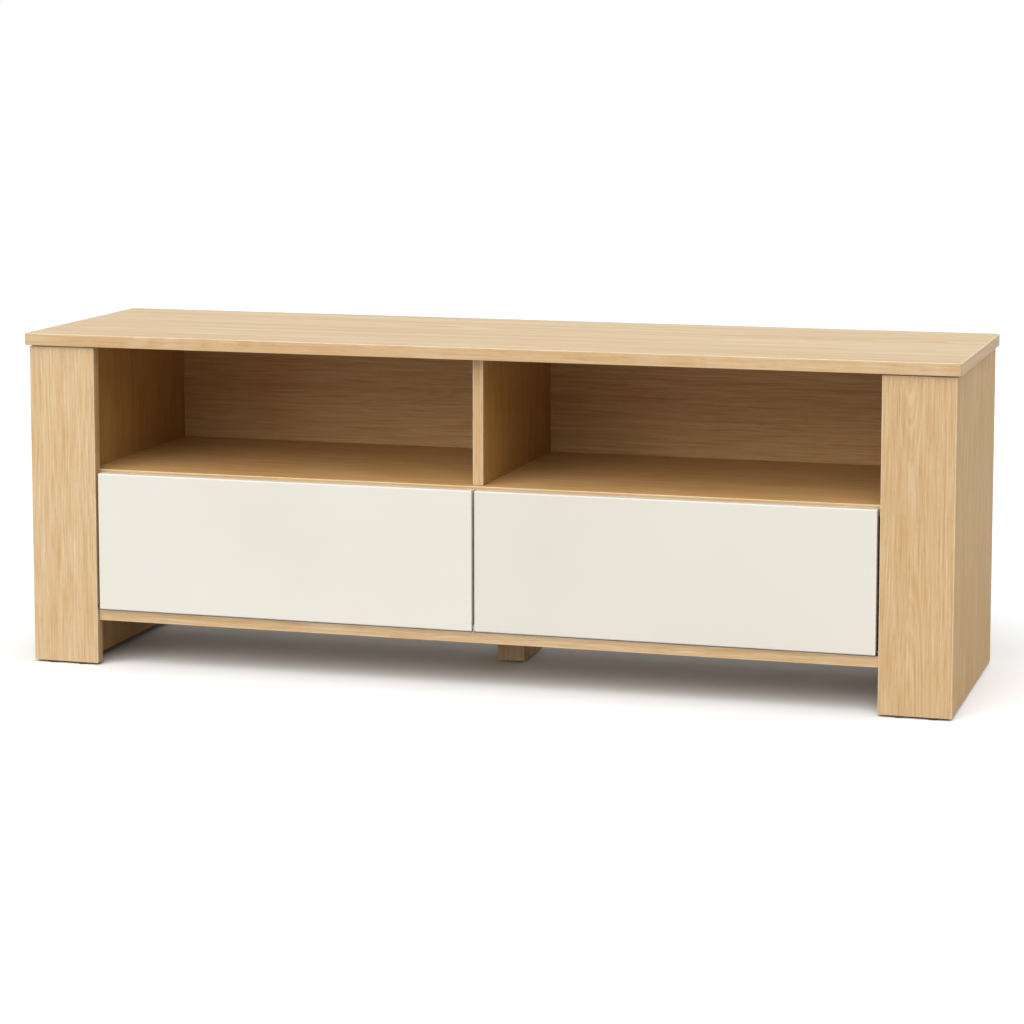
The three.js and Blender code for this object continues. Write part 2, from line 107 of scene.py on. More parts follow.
class NodeSketch:
    """Adds nodes to one tree and wires them, so that a recipe reads as a formula."""

    def __init__(self, tree: bpy.types.NodeTree) -> None:
        """Keeps the tree that the nodes go into."""
        self.tree = tree

    def node(self, kind: str, **settings: object) -> bpy.types.Node:
        """Adds one node.

        Args:
            kind: the node's Blender type name.
            settings: properties to set on it.

        Returns:
            The new node.
        """
        made = self.tree.nodes.new(kind)
        for name, value in settings.items():
            setattr(made, name, value)
        return made

    def feed(self, socket: Socket, value: Value) -> None:
        """Links a socket to another one, or sets its number, vector or colour.

        Args:
            socket: the input to feed.
            value: the output to link from, or the plain value.
        """
        if isinstance(value, Socket):
            self.tree.links.new(value, socket)
        else:
            socket.default_value = value

    def feed_all(self, node: bpy.types.Node, values: dict[str | int, Value]) -> None:
        """Feeds several of a node's inputs, each by its name or number."""
        for name, value in values.items():
            self.feed(node.inputs[name], value)

    def math(self, operation: str, *values: Value, clamp: bool = False) -> Socket:
        """Adds a Math node.

        Args:
            operation: its operation, such as MULTIPLY.
            values: what goes into its inputs, in order.
            clamp: keeps the result from 0 to 1.

        Returns:
            The result's socket.
        """
        made = self.node("ShaderNodeMath", operation=operation, use_clamp=clamp)
        self.feed_all(made, dict(enumerate(values)))
        return made.outputs[0]

    def scaled(self, value: Value, share: Value, start: Value) -> Socket:
        """Returns the socket of start plus a share of the value."""
        return self.math("MULTIPLY_ADD", value, share, start)

    def vector(self, *parts: Value) -> Socket:
        """Returns the socket of a vector that is put together from its parts."""
        made = self.node("ShaderNodeCombineXYZ")
        self.feed_all(made, dict(enumerate(parts)))
        return made.outputs[0]

    def parts(self, vector: Socket) -> Sequence[Socket]:
        """Returns the sockets of a vector's three parts."""
        made = self.node("ShaderNodeSeparateXYZ")
        self.feed(made.inputs[0], vector)
        return made.outputs

    def mix(self, factor: Value, first: Value, second: Value) -> Socket:
        """Mixes two colours.

        Args:
            factor: 0 for the first, 1 for the second.
            first: the first colour.
            second: the second colour.

        Returns:
            The mixed colour's socket.
        """
        made = self.node("ShaderNodeMix", data_type="RGBA", clamp_factor=True)
        for name, value in (("Factor_Float", factor), ("A_Color", first), ("B_Color", second)):
            self.feed(next(s for s in made.inputs if s.identifier == name), value)
        return next(s for s in made.outputs if s.identifier == "Result_Color")

    def stretched(self, value: Value, low: float, high: float, least: float = 0.0) -> Socket:
        """Stretches a range until it ends at 1, with a smooth start and end.

        Args:
            value: the number to stretch.
            low: the start of its range.
            high: the end of its range, which becomes 1.
            least: what the start becomes.

        Returns:
            The result's socket.
        """
        made = self.node("ShaderNodeMapRange", interpolation_type="SMOOTHSTEP")
        self.feed_all(made, dict(enumerate((value, low, high, least, 1.0))))
        return made.outputs[0]

    def noise(self, place: Value, pattern: Pattern, seed: Value | None = None) -> Socket:
        """Adds a noise whose cells can be longer along one axis.

        Args:
            place: the coordinates.
            pattern: how fine it is, and the part of it that shows.
            seed: picks another pattern in place of the pattern's own seed.

        Returns:
            The noise value's socket, about 0.5 on average.
        """
        fine = self.node("ShaderNodeVectorMath", operation="MULTIPLY")
        self.feed_all(fine, {0: place, 1: pattern.cells})
        made = self.node("ShaderNodeTexNoise", noise_dimensions="4D")
        self.feed_all(made, {
            "Vector": fine.outputs[0], "W": pattern.seed if seed is None else seed, "Scale": 1.0,
            "Detail": pattern.layers, "Roughness": pattern.roughness,
        })
        value = made.outputs["Fac"]
        return self.stretched(value, *pattern.shown, pattern.least) if pattern.shown else value

    def line_noise(self, along: Value, cells: float, layers: float) -> Socket:
        """Adds a noise along one line.

        Args:
            along: the distance along the line.
            cells: cells per metre.
            layers: how many finer layers are added.

        Returns:
            The noise value's socket, about 0.5 on average.
        """
        made = self.node("ShaderNodeTexNoise", noise_dimensions="1D")
        self.feed_all(made, {"W": along, "Scale": cells, "Detail": layers})
        return made.outputs["Fac"]

    def attribute(self, name: str) -> Socket:
        """Reads a face or point attribute of the piece."""
        return self.node("ShaderNodeAttribute", attribute_name=name).outputs["Fac"]

    def bump(self, height: Value, distance: float, strength: float) -> Socket:
        """Turns a height into a surface normal.

        Args:
            height: the height, from 0 to 1.
            distance: what a height of 1 is, in metres.
            strength: how much of it is used.

        Returns:
            The normal's socket.
        """
        made = self.node("ShaderNodeBump")
        self.feed_all(made, {"Height": height, "Distance": distance, "Strength": strength})
        return made.outputs["Normal"]


def shared_group(
    name: str,
    inputs: dict[str, tuple[str, Value]],
    outputs: dict[str, str],
    recipe: Callable[[NodeSketch, dict, dict], None],
) -> bpy.types.NodeTree:
    """Builds a shader node group once, and gives the same one back afterwards.

    Args:
        name: the group's name.
        inputs: each input's kind and its usual value.
        outputs: each output's kind.
        recipe: fills the group, given a sketch, the input sockets and the output sockets.

    Returns:
        The group.
    """
    if name in bpy.data.node_groups:
        return bpy.data.node_groups[name]
    tree = bpy.data.node_groups.new(name, "ShaderNodeTree")
    for label, (kind, usual) in inputs.items():
        socket = tree.interface.new_socket(label, in_out="INPUT", socket_type=f"NodeSocket{kind}")
        socket.default_value = usual
    for label, kind in outputs.items():
        tree.interface.new_socket(label, in_out="OUTPUT", socket_type=f"NodeSocket{kind}")
    sketch = NodeSketch(tree)
    source, drain = sketch.node("NodeGroupInput"), sketch.node("NodeGroupOutput")
    recipe(sketch, source.outputs, drain.inputs)
    return tree


# ---------------------------------------------------------------- shared effects
@dataclass(frozen=True)
class OakGrowth:
    """How the oak grew: wanderings in metres, and noises in cells per metre along and across the grain."""

    log_step: float = 1.37  # how far along the log the next seed's board is cut
    ring_step: float = 0.71
    middle: float = 0.5  # a noise's average
    sway_cells: float = 2.5
    sway_layers: float = 1.0
    sway: float = 0.020  # how far the heart wanders sideways
    waver: Pattern = Pattern((7.0, 30.0, 30.0))
    waver_reach: float = 0.005
    ring_cells: float = 360.0
    ring_layers: float = 2.0
    ring_range: tuple[float, float] = (0.32, 0.68)
    presence: Pattern = Pattern((3.0, 26.0, 26.0), shown=(0.34, 0.66), least=0.10)
    crook: Pattern = Pattern((13.0, 60.0, 60.0))
    crook_reach: float = 0.006
    waver_share: float = 0.8  # of the rings' waver that the fibres follow
    bands: Pattern = Pattern((1.4, 42.0, 42.0))
    streaks: Pattern = Pattern((4.0, 330.0, 330.0), 1.0, 0.6)
    fibres: Pattern = Pattern((12.0, 470.0, 470.0), 2.0, 0.6)
    pores: Pattern = Pattern((60.0, 1200.0, 1200.0), 1.0, shown=(0.56, 0.70))
    pores_lost: float = 0.6  # the share of the pores that early wood loses
    pore_strength: float = 0.50
    fibre_relief: float = 0.6


def oak_figure(sketch: NodeSketch, given: dict, result: dict) -> None:
    """Draws flat-sawn oak: rings cut by a face near the heart, broken by streaks, fibres and pores.

    The grain runs along the first axis, the second goes across the face and the third into the board.

    Args:
        sketch: the group's nodes.
        given: the group's inputs.
        result: the group's outputs.
    """
    oak, own, seed = OakGrowth(), given["Place"], given["Seed"]
    along, across, into = sketch.parts(own)

    # The heart of the log wanders sideways and rises and sinks under the face, which draws the arches.
    shifted = sketch.scaled(seed, oak.log_step, along)
    sway = sketch.scaled(sketch.line_noise(shifted, oak.sway_cells, oak.sway_layers), oak.sway, -oak.sway / 2)
    waver = sketch.scaled(sketch.noise(own, oak.waver, seed), oak.waver_reach, -oak.waver_reach / 2)
    sideways = sketch.math("ADD", sketch.math("ADD", across, sway), waver)
    turns = sketch.math("DIVIDE", sketch.math("MULTIPLY", along, math.tau), given["Arch Length"])
    rise = sketch.math("MULTIPLY", sketch.math("COSINE", turns), given["Arch Rise"])
    deep = sketch.math("ADD", sketch.math("ADD", rise, given["Heart Depth"]), into)
    squared = sketch.math("ADD", sketch.math("POWER", deep, 2.0), sketch.math("POWER", sideways, 2.0))
    ring_place = sketch.scaled(seed, oak.ring_step, sketch.math("SQRT", squared))
    rings = sketch.line_noise(ring_place, oak.ring_cells, oak.ring_layers)
    rings = sketch.math("SUBTRACT", sketch.stretched(rings, *oak.ring_range), oak.middle)
    rings = sketch.math("MULTIPLY", rings, sketch.noise(own, oak.presence, seed))

    # Fibres run a little crooked.
    crook = sketch.scaled(waver, oak.waver_share, across)
    crook = sketch.scaled(sketch.noise(own, oak.crook, seed), oak.crook_reach, crook)
    bent = sketch.vector(along, crook, into)
    bands, streaks, fibres = (
        sketch.math("SUBTRACT", sketch.noise(bent, layer, seed), oak.middle)
        for layer in (oak.bands, oak.streaks, oak.fibres)
    )

    tone = sketch.math("MULTIPLY", rings, given["Rings"])
    for layer, weight in ((bands, given["Bands"]), (streaks, given["Streaks"]), (fibres, given["Fibres"])):
        tone = sketch.math("ADD", tone, sketch.math("MULTIPLY", layer, weight))
    tone = sketch.math("ADD", tone, oak.middle, clamp=True)

    kept = sketch.scaled(tone, -oak.pores_lost, 1.0)
    pores = sketch.math("MULTIPLY", sketch.noise(bent, oak.pores, seed), kept)
    colour = sketch.mix(tone, given["Late Wood"], given["Early Wood"])
    colour = sketch.mix(sketch.math("MULTIPLY", pores, oak.pore_strength), colour, given["Pore"])
    sketch.feed(result["Colour"], colour)
    sketch.feed(result["Tone"], tone)
    relief = sketch.scaled(fibres, oak.fibre_relief, tone)
    sketch.feed(result["Height"], sketch.math("SUBTRACT", relief, pores))


# How unevenly the paler edges break up along their length, for both the rubbed wear and the painted
# highlight.
RUB_AND_HIGHLIGHT_BREAKS = Pattern((45.0, 45.0, 45.0), 3.0, seed=3.0, shown=(0.30, 0.70), least=0.45)
HAZE = Pattern((7.0, 7.0, 7.0), 3.0, 0.6, seed=11.0, shown=(0.35, 0.75))
SPECKS = Pattern((420.0, 420.0, 420.0), 1.0, seed=5.0, shown=(0.60, 0.80))
SPECK_SHARE = 0.35
DUST_ON_WALLS = 0.6  # of the dust that lies on a face that looks up


def rubbed_and_highlit_arris(sketch: NodeSketch, given: dict, result: dict) -> None:
    """Marks the rounded edges that are painted paler, unevenly along their length: partly rubbed wear, partly
    a painted highlight.

    Args:
        sketch: the group's nodes.
        given: the group's inputs.
        result: the group's outputs.
    """
    mask = sketch.math("MULTIPLY", sketch.attribute(ARRIS), sketch.noise(given["Place"], RUB_AND_HIGHLIGHT_BREAKS))
    sketch.feed(result["Mask"], sketch.math("MULTIPLY", mask, given["Amount"], clamp=True))


def fine_dust(sketch: NodeSketch, given: dict, result: dict) -> None:
    """Marks the faint dust and handling haze that lies over every finish.

    Args:
        sketch: the group's nodes.
        given: the group's inputs.
        result: the group's outputs.
    """
    haze, specks = (sketch.noise(given["Place"], pattern) for pattern in (HAZE, SPECKS))
    upright = sketch.parts(sketch.node("ShaderNodeNewGeometry").outputs["Normal"])[UP]
    upward = sketch.math("MULTIPLY_ADD", upright, 1.0 - DUST_ON_WALLS, DUST_ON_WALLS, clamp=True)
    lying = sketch.math("MULTIPLY", sketch.scaled(specks, SPECK_SHARE, haze), upward)
    sketch.feed(result["Mask"], sketch.math("MULTIPLY", lying, given["Amount"], clamp=True))


def oak_figure_group() -> bpy.types.NodeTree:
    """Returns the shared group that draws oak."""
    numbers = (
        "Seed", "Heart Depth", "Arch Rise", "Arch Length", "Rings", "Bands", "Streaks", "Fibres",
    )
    inputs = {"Place": ("Vector", (0.0, 0.0, 0.0))}
    inputs |= {label: ("Float", 0.5) for label in numbers}
    inputs |= {label: ("Color", (0.5, 0.4, 0.3, 1.0)) for label in ("Early Wood", "Late Wood", "Pore")}
    outputs = {"Colour": "Color", "Tone": "Float", "Height": "Float"}
    return shared_group("oak_figure", inputs, outputs, oak_figure)


def mask_group(recipe: Callable[[NodeSketch, dict, dict], None]) -> bpy.types.NodeTree:
    """Returns the shared group that turns a place and an amount into one mask, named after its recipe."""
    inputs = {"Place": ("Vector", (0.0, 0.0, 0.0)), "Amount": ("Float", 0.5)}
    return shared_group(recipe.__name__, inputs, {"Mask": "Float"}, recipe)


# ---------------------------------------------------------------- finishes
class Grain(Enum):
    """How the grain lies on a face: the axes along the grain, across the face and into the board."""

    FLAT_LENGTHWISE = ((1, 0, 0), (0, 1, 0), (0, 0, 1))
    FLAT_CROSSWISE = ((0, 1, 0), (-1, 0, 0), (0, 0, 1))
    FRONTAL_LENGTHWISE = ((1, 0, 0), (0, 0, 1), (0, -1, 0))
    FRONTAL_UPRIGHT = ((0, 0, 1), (1, 0, 0), (0, 1, 0))
    SIDEWAYS_CROSSWISE = ((0, 1, 0), (0, 0, 1), (1, 0, 0))
    SIDEWAYS_UPRIGHT = ((0, 0, 1), (0, 1, 0), (-1, 0, 0))

    def turn(self) -> Euler:
        """Returns the turn that brings the grain onto the pattern's first axis."""
        return Matrix(self.value).to_euler()

    def thickness(self) -> int:
        """Returns the axis that goes into the board: 0, 1 or 2."""
        return max(range(3), key=lambda axis: abs(self.value[2][axis]))

    def band(self, facing: int) -> "Grain":
        """Finds how the grain lies on the band along one of this board's edges.

        Args:
            facing: the axis that the edge looks along, which isn't the board's thickness.

        Returns:
            The band's grain, which follows the edge.
        """
        along = 3 - facing - self.thickness()
        return next(grain for grain in Grain if grain.thickness() == facing and grain.value[0][along])


class Tone(Enum):
    """Painted shade by place: how far the foil's red, green and blue are scaled down where a board sits,
    standing in for the light and shade that fall there; FRONT is left as it is.
    """

    FRONT = (1.0, 1.0, 1.0)
    # painted shade on the right front post, the bottom panel and most edge bands
    DEEP = (0.915, 0.88, 0.825)
    # painted shade that darkens and greys the top, which takes more light and sheen
    TOP = (0.765, 0.775, 0.725)
    # painted shade inside the bays, also on edge bands that face up or down
    INSIDE = (0.87, 0.74, 0.50)
    # darker painted shade on the walls inside the bays
    WALL = (0.73, 0.58, 0.28)
    # painted shade on the outer panels and rear posts
    SIDE = (0.89, 0.84, 0.72)


@dataclass(frozen=True)
class Finish:
    """What every finish shares: a name, the record's slot, wear with a painted edge highlight, dust, relief
    and even shader values.
    """

    name: str = "plain"
    slot: str = ""
    rub_and_highlight: float = 0.5  # how strongly the paler rounded edges show: rubbed wear and a painted highlight
    dust: float = 0.06
    dust_colour: Colour | None = None  # None where dust only takes the shine off
    relief: float = 0.05 * MM
    relief_strength: float = 0.4
    base_roughness: float = 0.40

    def begin(self) -> tuple[bpy.types.Material, NodeSketch, bpy.types.Node, Socket]:
        """Makes an empty material with a Principled shader.

        Returns:
            The material, its sketch, its shader and the piece's own coordinates.
        """
        material = bpy.data.materials.new(self.name)
        material.use_nodes = True
        material.node_tree.nodes.clear()
        sketch = NodeSketch(material.node_tree)
        shader = sketch.node("ShaderNodeBsdfPrincipled")
        drain = sketch.node("ShaderNodeOutputMaterial")
        sketch.feed(drain.inputs["Surface"], shader.outputs[0])
        return material, sketch, shader, sketch.node("ShaderNodeTexCoord").outputs["Object"]

    def end(
        self, sketch: NodeSketch, shader: bpy.types.Node, own: Socket, colour: Socket, rubbed_and_highlit: Colour,
        roughness: Socket, height: Socket, **even: float,
    ) -> None:
        """Lays wear with a painted edge highlight, dust and relief over a finish and feeds its shader.

        Args:
            sketch: the material's nodes.
            shader: its shader.
            own: the piece's own coordinates.
            colour: the finish's colour.
            rubbed_and_highlit: its colour on rounded edges, partly rubbed wear and partly a painted
                highlight.
            roughness: its roughness.
            height: its relief, from 0 to 1.
            even: the shader's values that are the same all over, with _ for a space.
        """
        masks = []
        for recipe, amount in ((rubbed_and_highlit_arris, self.rub_and_highlight), (fine_dust, self.dust)):
            group = sketch.node("ShaderNodeGroup", node_tree=mask_group(recipe))
            sketch.feed_all(group, {"Place": own, "Amount": amount})
            masks.append(group.outputs["Mask"])
        rub_and_highlight, dust = masks
        # Rounded edges take a paler colour: partly rubbed wear, partly a painted highlight.
        colour = sketch.mix(rub_and_highlight, colour, solid(rubbed_and_highlit))
        if self.dust_colour:
            colour = sketch.mix(dust, colour, solid(self.dust_colour))
        roughness = sketch.math("ADD", roughness, dust, clamp=True)
        normal = sketch.bump(height, self.relief, self.relief_strength)
        sketch.feed_all(shader, {"Base Color": colour, "Roughness": roughness, "Normal": normal})
        sketch.feed_all(shader, {name.replace("_", " "): value for name, value in even.items()})

    def material(self) -> bpy.types.Material:
        """Returns the finish's material, made on first use."""
        return bpy.data.materials.get(self.name) or self.make()

    def make(self) -> bpy.types.Material:
        """Makes the material. Each finish has its own."""
        raise NotImplementedError


@dataclass(frozen=True)
class OakFoil(Finish):
    """Light oak-look foil under a matte lacquer."""

    slot: str = "oak_foil"
    rub_and_highlight: float = 0.62
    dust_colour: Colour | None = (0.80, 0.77, 0.72)
    relief: float = 0.10 * MM
    relief_strength: float = 0.45
    base_roughness: float = 0.50
    smoother_early: float = 0.10  # how much smoother early wood is
    grain: Grain = Grain.FLAT_LENGTHWISE
    seed: float = 0.0
    centre: tuple[float, float, float] = (0.0, 0.0, 0.0)  # where the pattern's heart is, in the frame
    heart_depth: float = 0.030
    arch_rise: float = 0.012
    arch_length: float = 0.9
    # painted shade for the board's place on the bench
    tone: Tone = Tone.FRONT
    gloss: float = 0.40
    rings: float = 0.40
    bands: float = 0.80
    streaks: float = 0.85
    fibres: float = 2.60
    early: Colour = (0.680, 0.515, 0.318)
    late: Colour = (0.560, 0.338, 0.143)
    pore: Colour = (0.400, 0.230, 0.095)
    # paler colour of the rounded edges: partly rubbed wear, partly a painted highlight
    rubbed_and_highlit: Colour = (0.880, 0.755, 0.570)

    def place_shaded(self, colour: Colour) -> Colour:
        """Returns a colour scaled by the painted shade of this board's place."""
        return tuple(part * share for part, share in zip(colour, self.tone.value))

    def make(self) -> bpy.types.Material:
        """Makes the foil's material.

        Returns:
            The material.
        """
        material, sketch, shader, own = self.begin()
        mapping = sketch.node("ShaderNodeMapping")
        turn = self.grain.turn()
        shift = -(turn.to_matrix() @ Vector(self.centre))
        sketch.feed_all(mapping, {"Vector": own, "Rotation": tuple(turn), "Location": tuple(shift)})
        figure = sketch.node("ShaderNodeGroup", node_tree=oak_figure_group())
        sketch.feed_all(figure, {
            "Place": mapping.outputs[0], "Seed": self.seed,
            "Heart Depth": self.heart_depth, "Arch Rise": self.arch_rise, "Arch Length": self.arch_length,
            "Rings": self.rings, "Bands": self.bands, "Streaks": self.streaks, "Fibres": self.fibres,
            "Early Wood": solid(self.place_shaded(self.early)), "Late Wood": solid(self.place_shaded(self.late)),
            "Pore": solid(self.place_shaded(self.pore)),
        })
        roughness = sketch.scaled(figure.outputs["Tone"], -self.smoother_early, self.base_roughness)
        self.end(
            sketch, shader, own, figure.outputs["Colour"], self.place_shaded(self.rubbed_and_highlit), roughness,
            figure.outputs["Height"], Specular_IOR_Level=self.gloss,
        )
        return material


@dataclass(frozen=True)
class Lacquer(Finish):
    """Warm off-white matte lacquer on a smooth board."""

    name: str = "warm_white_lacquer"
    slot: str = "white_lacquer"
    rub_and_highlight: float = 0.30
    dust: float = 0.05
    dust_colour: Colour | None = (0.70, 0.68, 0.63)
    relief: float = 0.04 * MM
    relief_strength: float = 0.25
    colour: Colour = (0.735, 0.700, 0.630)
    shade: Colour = (0.705, 0.668, 0.595)
    # paler colour of the rounded edges: partly rubbed wear, partly a painted highlight
    rubbed_and_highlit: Colour = (0.800, 0.775, 0.715)
    cloud: Pattern = Pattern((3.0, 3.0, 3.0), 4.0, 0.55, 2.0, shown=(0.25, 0.75))
    cloud_roughness: float = 0.08
    peel: Pattern = Pattern((520.0, 520.0, 520.0), seed=7.0)
    peel_roughness: float = 0.06
    coat: float = 0.12
    coat_roughness: float = 0.30

    def make(self) -> bpy.types.Material:
        """Makes the lacquer's material.

        Returns:
            The material.
        """
        material, sketch, shader, own = self.begin()
        cloud, peel = sketch.noise(own, self.cloud), sketch.noise(own, self.peel)
        colour = sketch.mix(cloud, solid(self.shade), solid(self.colour))
        roughness = sketch.scaled(cloud, self.cloud_roughness, self.base_roughness)
        roughness = sketch.scaled(peel, self.peel_roughness, roughness)
        self.end(
            sketch, shader, own, colour, self.rubbed_and_highlit, roughness, peel,
            Coat_Weight=self.coat, Coat_Roughness=self.coat_roughness,
        )
        return material


@dataclass(frozen=True)
class PlatedSteel(Finish):
    """Zinc-plated pressed steel with fine drawing lines and a cloudy plate."""

    name: str = "zinc_plated_steel"
    slot: str = "zinc_steel"
    rub_and_highlight: float = 0.60
    relief: float = 0.03 * MM
    relief_strength: float = 0.35
    colour: Colour = (0.58, 0.59, 0.60)
    dull: Colour = (0.40, 0.41, 0.43)
    # paler colour of the rounded edges: partly rubbed wear, partly a painted highlight
    bright: Colour = (0.78, 0.79, 0.80)
    plate: Pattern = Pattern((95.0, 95.0, 95.0), 3.0, 0.6, 4.0, shown=(0.30, 0.70))
    plate_roughness: float = -0.12
    drawn: Pattern = Pattern((900.0, 900.0, 45.0), seed=9.0)
    drawn_roughness: float = 0.14

    def make(self) -> bpy.types.Material:
        """Makes the steel's material.

        Returns:
            The material.
        """
        material, sketch, shader, own = self.begin()
        plate, drawn = sketch.noise(own, self.plate), sketch.noise(own, self.drawn)
        colour = sketch.mix(plate, solid(self.dull), solid(self.colour))
        roughness = sketch.scaled(plate, self.plate_roughness, self.base_roughness)
        roughness = sketch.scaled(drawn, self.drawn_roughness, roughness)
        self.end(sketch, shader, own, colour, self.bright, roughness, drawn, Metallic=1.0)
        return material


@dataclass(frozen=True)
class MouldedPlastic(Finish):
    """Moulded nylon or soft rubber with a fine spark-eroded texture."""

    rub_and_highlight: float = 0.35
    dust: float = 0.10
    dust_colour: Colour | None = (0.60, 0.58, 0.55)
    base_roughness: float = 0.50
    colour: Colour = (0.5, 0.5, 0.5)
    shade: Colour = (0.4, 0.4, 0.4)
    paler: float = 1.35  # how much paler a rounded edge is: partly rubbed wear, partly a painted highlight
    clear: float = 0.0
    texture: Pattern = Pattern((1500.0, 1500.0, 1500.0), seed=6.0)
    texture_roughness: float = 0.16
    cloud: Pattern = Pattern((60.0, 60.0, 60.0), seed=8.0, shown=(0.30, 0.70))

    def make(self) -> bpy.types.Material:
        """Makes the plastic's material.

        Returns:
            The material.
        """
        material, sketch, shader, own = self.begin()
        texture, cloud = sketch.noise(own, self.texture), sketch.noise(own, self.cloud)
        colour = sketch.mix(cloud, solid(self.shade), solid(self.colour))
        rubbed_and_highlit = tuple(min(1.0, part * self.paler) for part in self.colour)
        start = self.base_roughness - self.texture_roughness / 2
        roughness = sketch.scaled(texture, self.texture_roughness, start)
        self.end(
            sketch, shader, own, colour, rubbed_and_highlit, roughness, texture, Transmission_Weight=self.clear
        )
        return material


STEEL = PlatedSteel()
PIN_STEEL = PlatedSteel(
    "oiled_pin_steel", colour=(0.100, 0.100, 0.105), dull=(0.060, 0.060, 0.063), bright=(0.160, 0.160, 0.165)
)
LACQUER = Lacquer()
# The same lacquer painted a little darker, standing in for shade on the right flap.
SHADED_LACQUER = Lacquer(
    "warm_white_lacquer_painted_shade", colour=(0.700, 0.665, 0.592), shade=(0.672, 0.634, 0.560)
)
BLACK_NYLON = MouldedPlastic(
    "black_nylon_moulding", "black_nylon", colour=(0.030, 0.030, 0.031), shade=(0.018, 0.018, 0.019)
)
PALE_NYLON = MouldedPlastic(
    "pale_nylon_moulding", "pale_nylon", colour=(0.74, 0.74, 0.71), shade=(0.68, 0.68, 0.65),
    base_roughness=0.45,
)
BUSH_NYLON = MouldedPlastic(
    "tan_nylon_bush", "pale_nylon", colour=(0.260, 0.185, 0.105), shade=(0.220, 0.150, 0.080)
)
BUMPER_RUBBER = MouldedPlastic(
    "clear_bumper_rubber", "clear_rubber", colour=(0.80, 0.81, 0.80), shade=(0.72, 0.73, 0.72),
    base_roughness=0.30, clear=0.55,
)


# ---------------------------------------------------------------- mesh work
@dataclass(frozen=True)
class Easing:
    """How a piece's sharp edges are rounded over."""

    radius: float = 1.2 * MM
    segments: int = 3
    shortest: float = 5.0 * MM  # shorter edges, such as a hole's rim, stay crisp
    clamp: bool = True
    profile: float = 0.5  # a quarter circle

    def apply(self, mesh: BMesh, keep: Callable[[bmesh.types.BMEdge], bool] = lambda edge: True) -> None:
        """Rounds the edges and marks the new faces as arris.

        Args:
            mesh: the piece's mesh.
            keep: says which of the sharp edges are rounded; all of them if it is missing.
        """
        layer = mesh.faces.layers.float.get(ARRIS) or mesh.faces.layers.float.new(ARRIS)
        edges = [
            edge
            for edge in mesh.edges
            if len(edge.link_faces) == 2
            and edge.calc_face_angle(0.0) > SHARP_FROM
            and edge.calc_length() > self.shortest
            and keep(edge)
        ]
        made = bmesh.ops.bevel(
            mesh, geom=edges, offset=self.radius, offset_type="OFFSET", segments=self.segments,
            profile=self.profile, affect="EDGES", clamp_overlap=self.clamp,
        )
        for face in made["faces"]:
            face[layer] = 1.0


def merged_copy(node: str) -> BMesh:
    """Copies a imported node's triangles into one welded mesh with whole flat faces.

    Args:
        node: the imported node's name.

    Returns:
        The welded mesh.
    """
    mesh = bmesh.new()
    mesh.from_mesh(bpy.data.objects[node].data)
    bmesh.ops.remove_doubles(mesh, verts=mesh.verts, dist=WELD)
    bmesh.ops.dissolve_limit(
        mesh, angle_limit=FLAT_WITHIN, verts=mesh.verts, edges=mesh.edges, use_dissolve_boundaries=False
    )
    return mesh


def middle_of(node: str) -> Vector:
    """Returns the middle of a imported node's box."""
    low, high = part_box(node)
    return (low + high) / 2


def linked(name: str, data: bpy.types.ID) -> bpy.types.Object:
    """Returns a new object that is linked into the scene."""
    made = bpy.data.objects.new(name, data)
    bpy.context.scene.collection.objects.link(made)
    return made


def box_mesh(low: Vector, high: Vector) -> BMesh:
    """Makes a square-edged board between two corners.

    Args:
        low: its lowest corner.
        high: its highest corner.

    Returns:
        The board's mesh.
    """
    mesh = bmesh.new()
    place = Matrix.Translation((low + high) / 2) @ Matrix.Diagonal((*(high - low), 1.0))
    bmesh.ops.create_cube(mesh, size=1.0, matrix=place)
    return mesh


def cut_mitre(mesh: BMesh, point: Vector, normal: Vector) -> None:
    """Cuts a board off at a plane and closes the cut.

    Args:
        mesh: the board's mesh.
        point: a point on the plane.
        normal: points at the part that is thrown away.
    """
    geometry = [*mesh.verts, *mesh.edges, *mesh.faces]
    made = bmesh.ops.bisect_plane(
        mesh, geom=geometry, dist=ON_PLANE, plane_co=point, plane_no=normal, clear_outer=True
    )
    rim = [item for item in made["geom_cut"] if isinstance(item, bmesh.types.BMEdge)]
    bmesh.ops.holes_fill(mesh, edges=rim, sides=0)
    bmesh.ops.recalc_face_normals(mesh, faces=mesh.faces)


def bored(mesh: BMesh, mouth: Vector, along: Vector, radius: float) -> BMesh:
    """Bores a round blind hole.

    Args:
        mesh: the board's mesh, which is used up.
        mouth: the middle of the hole's mouth.
        along: from the mouth to the hole's floor.
        radius: the hole's radius.

    Returns:
        The bored mesh.
    """
    drill = bmesh.new()
    turn = along.to_track_quat("Z", "Y").to_matrix().to_4x4()
    bmesh.ops.create_cone(
        drill, cap_ends=True, segments=BORE_SIDES, radius1=radius, radius2=radius, depth=2 * along.length,
        matrix=Matrix.Translation(mouth) @ turn,
    )
    blocks = []
    for name, part in (("board", mesh), ("drill", drill)):
        data = bpy.data.meshes.new(name)
        part.to_mesh(data)
        part.free()
        blocks.append(linked(name, data))
    board, tool = blocks
    cut = board.modifiers.new("bore", "BOOLEAN")
    cut.operation, cut.solver, cut.object = "DIFFERENCE", "EXACT", tool
    settle(board)
    made = bmesh.new()
    made.from_mesh(board.data)
    for block in blocks:
        bpy.data.objects.remove(block)
    return made


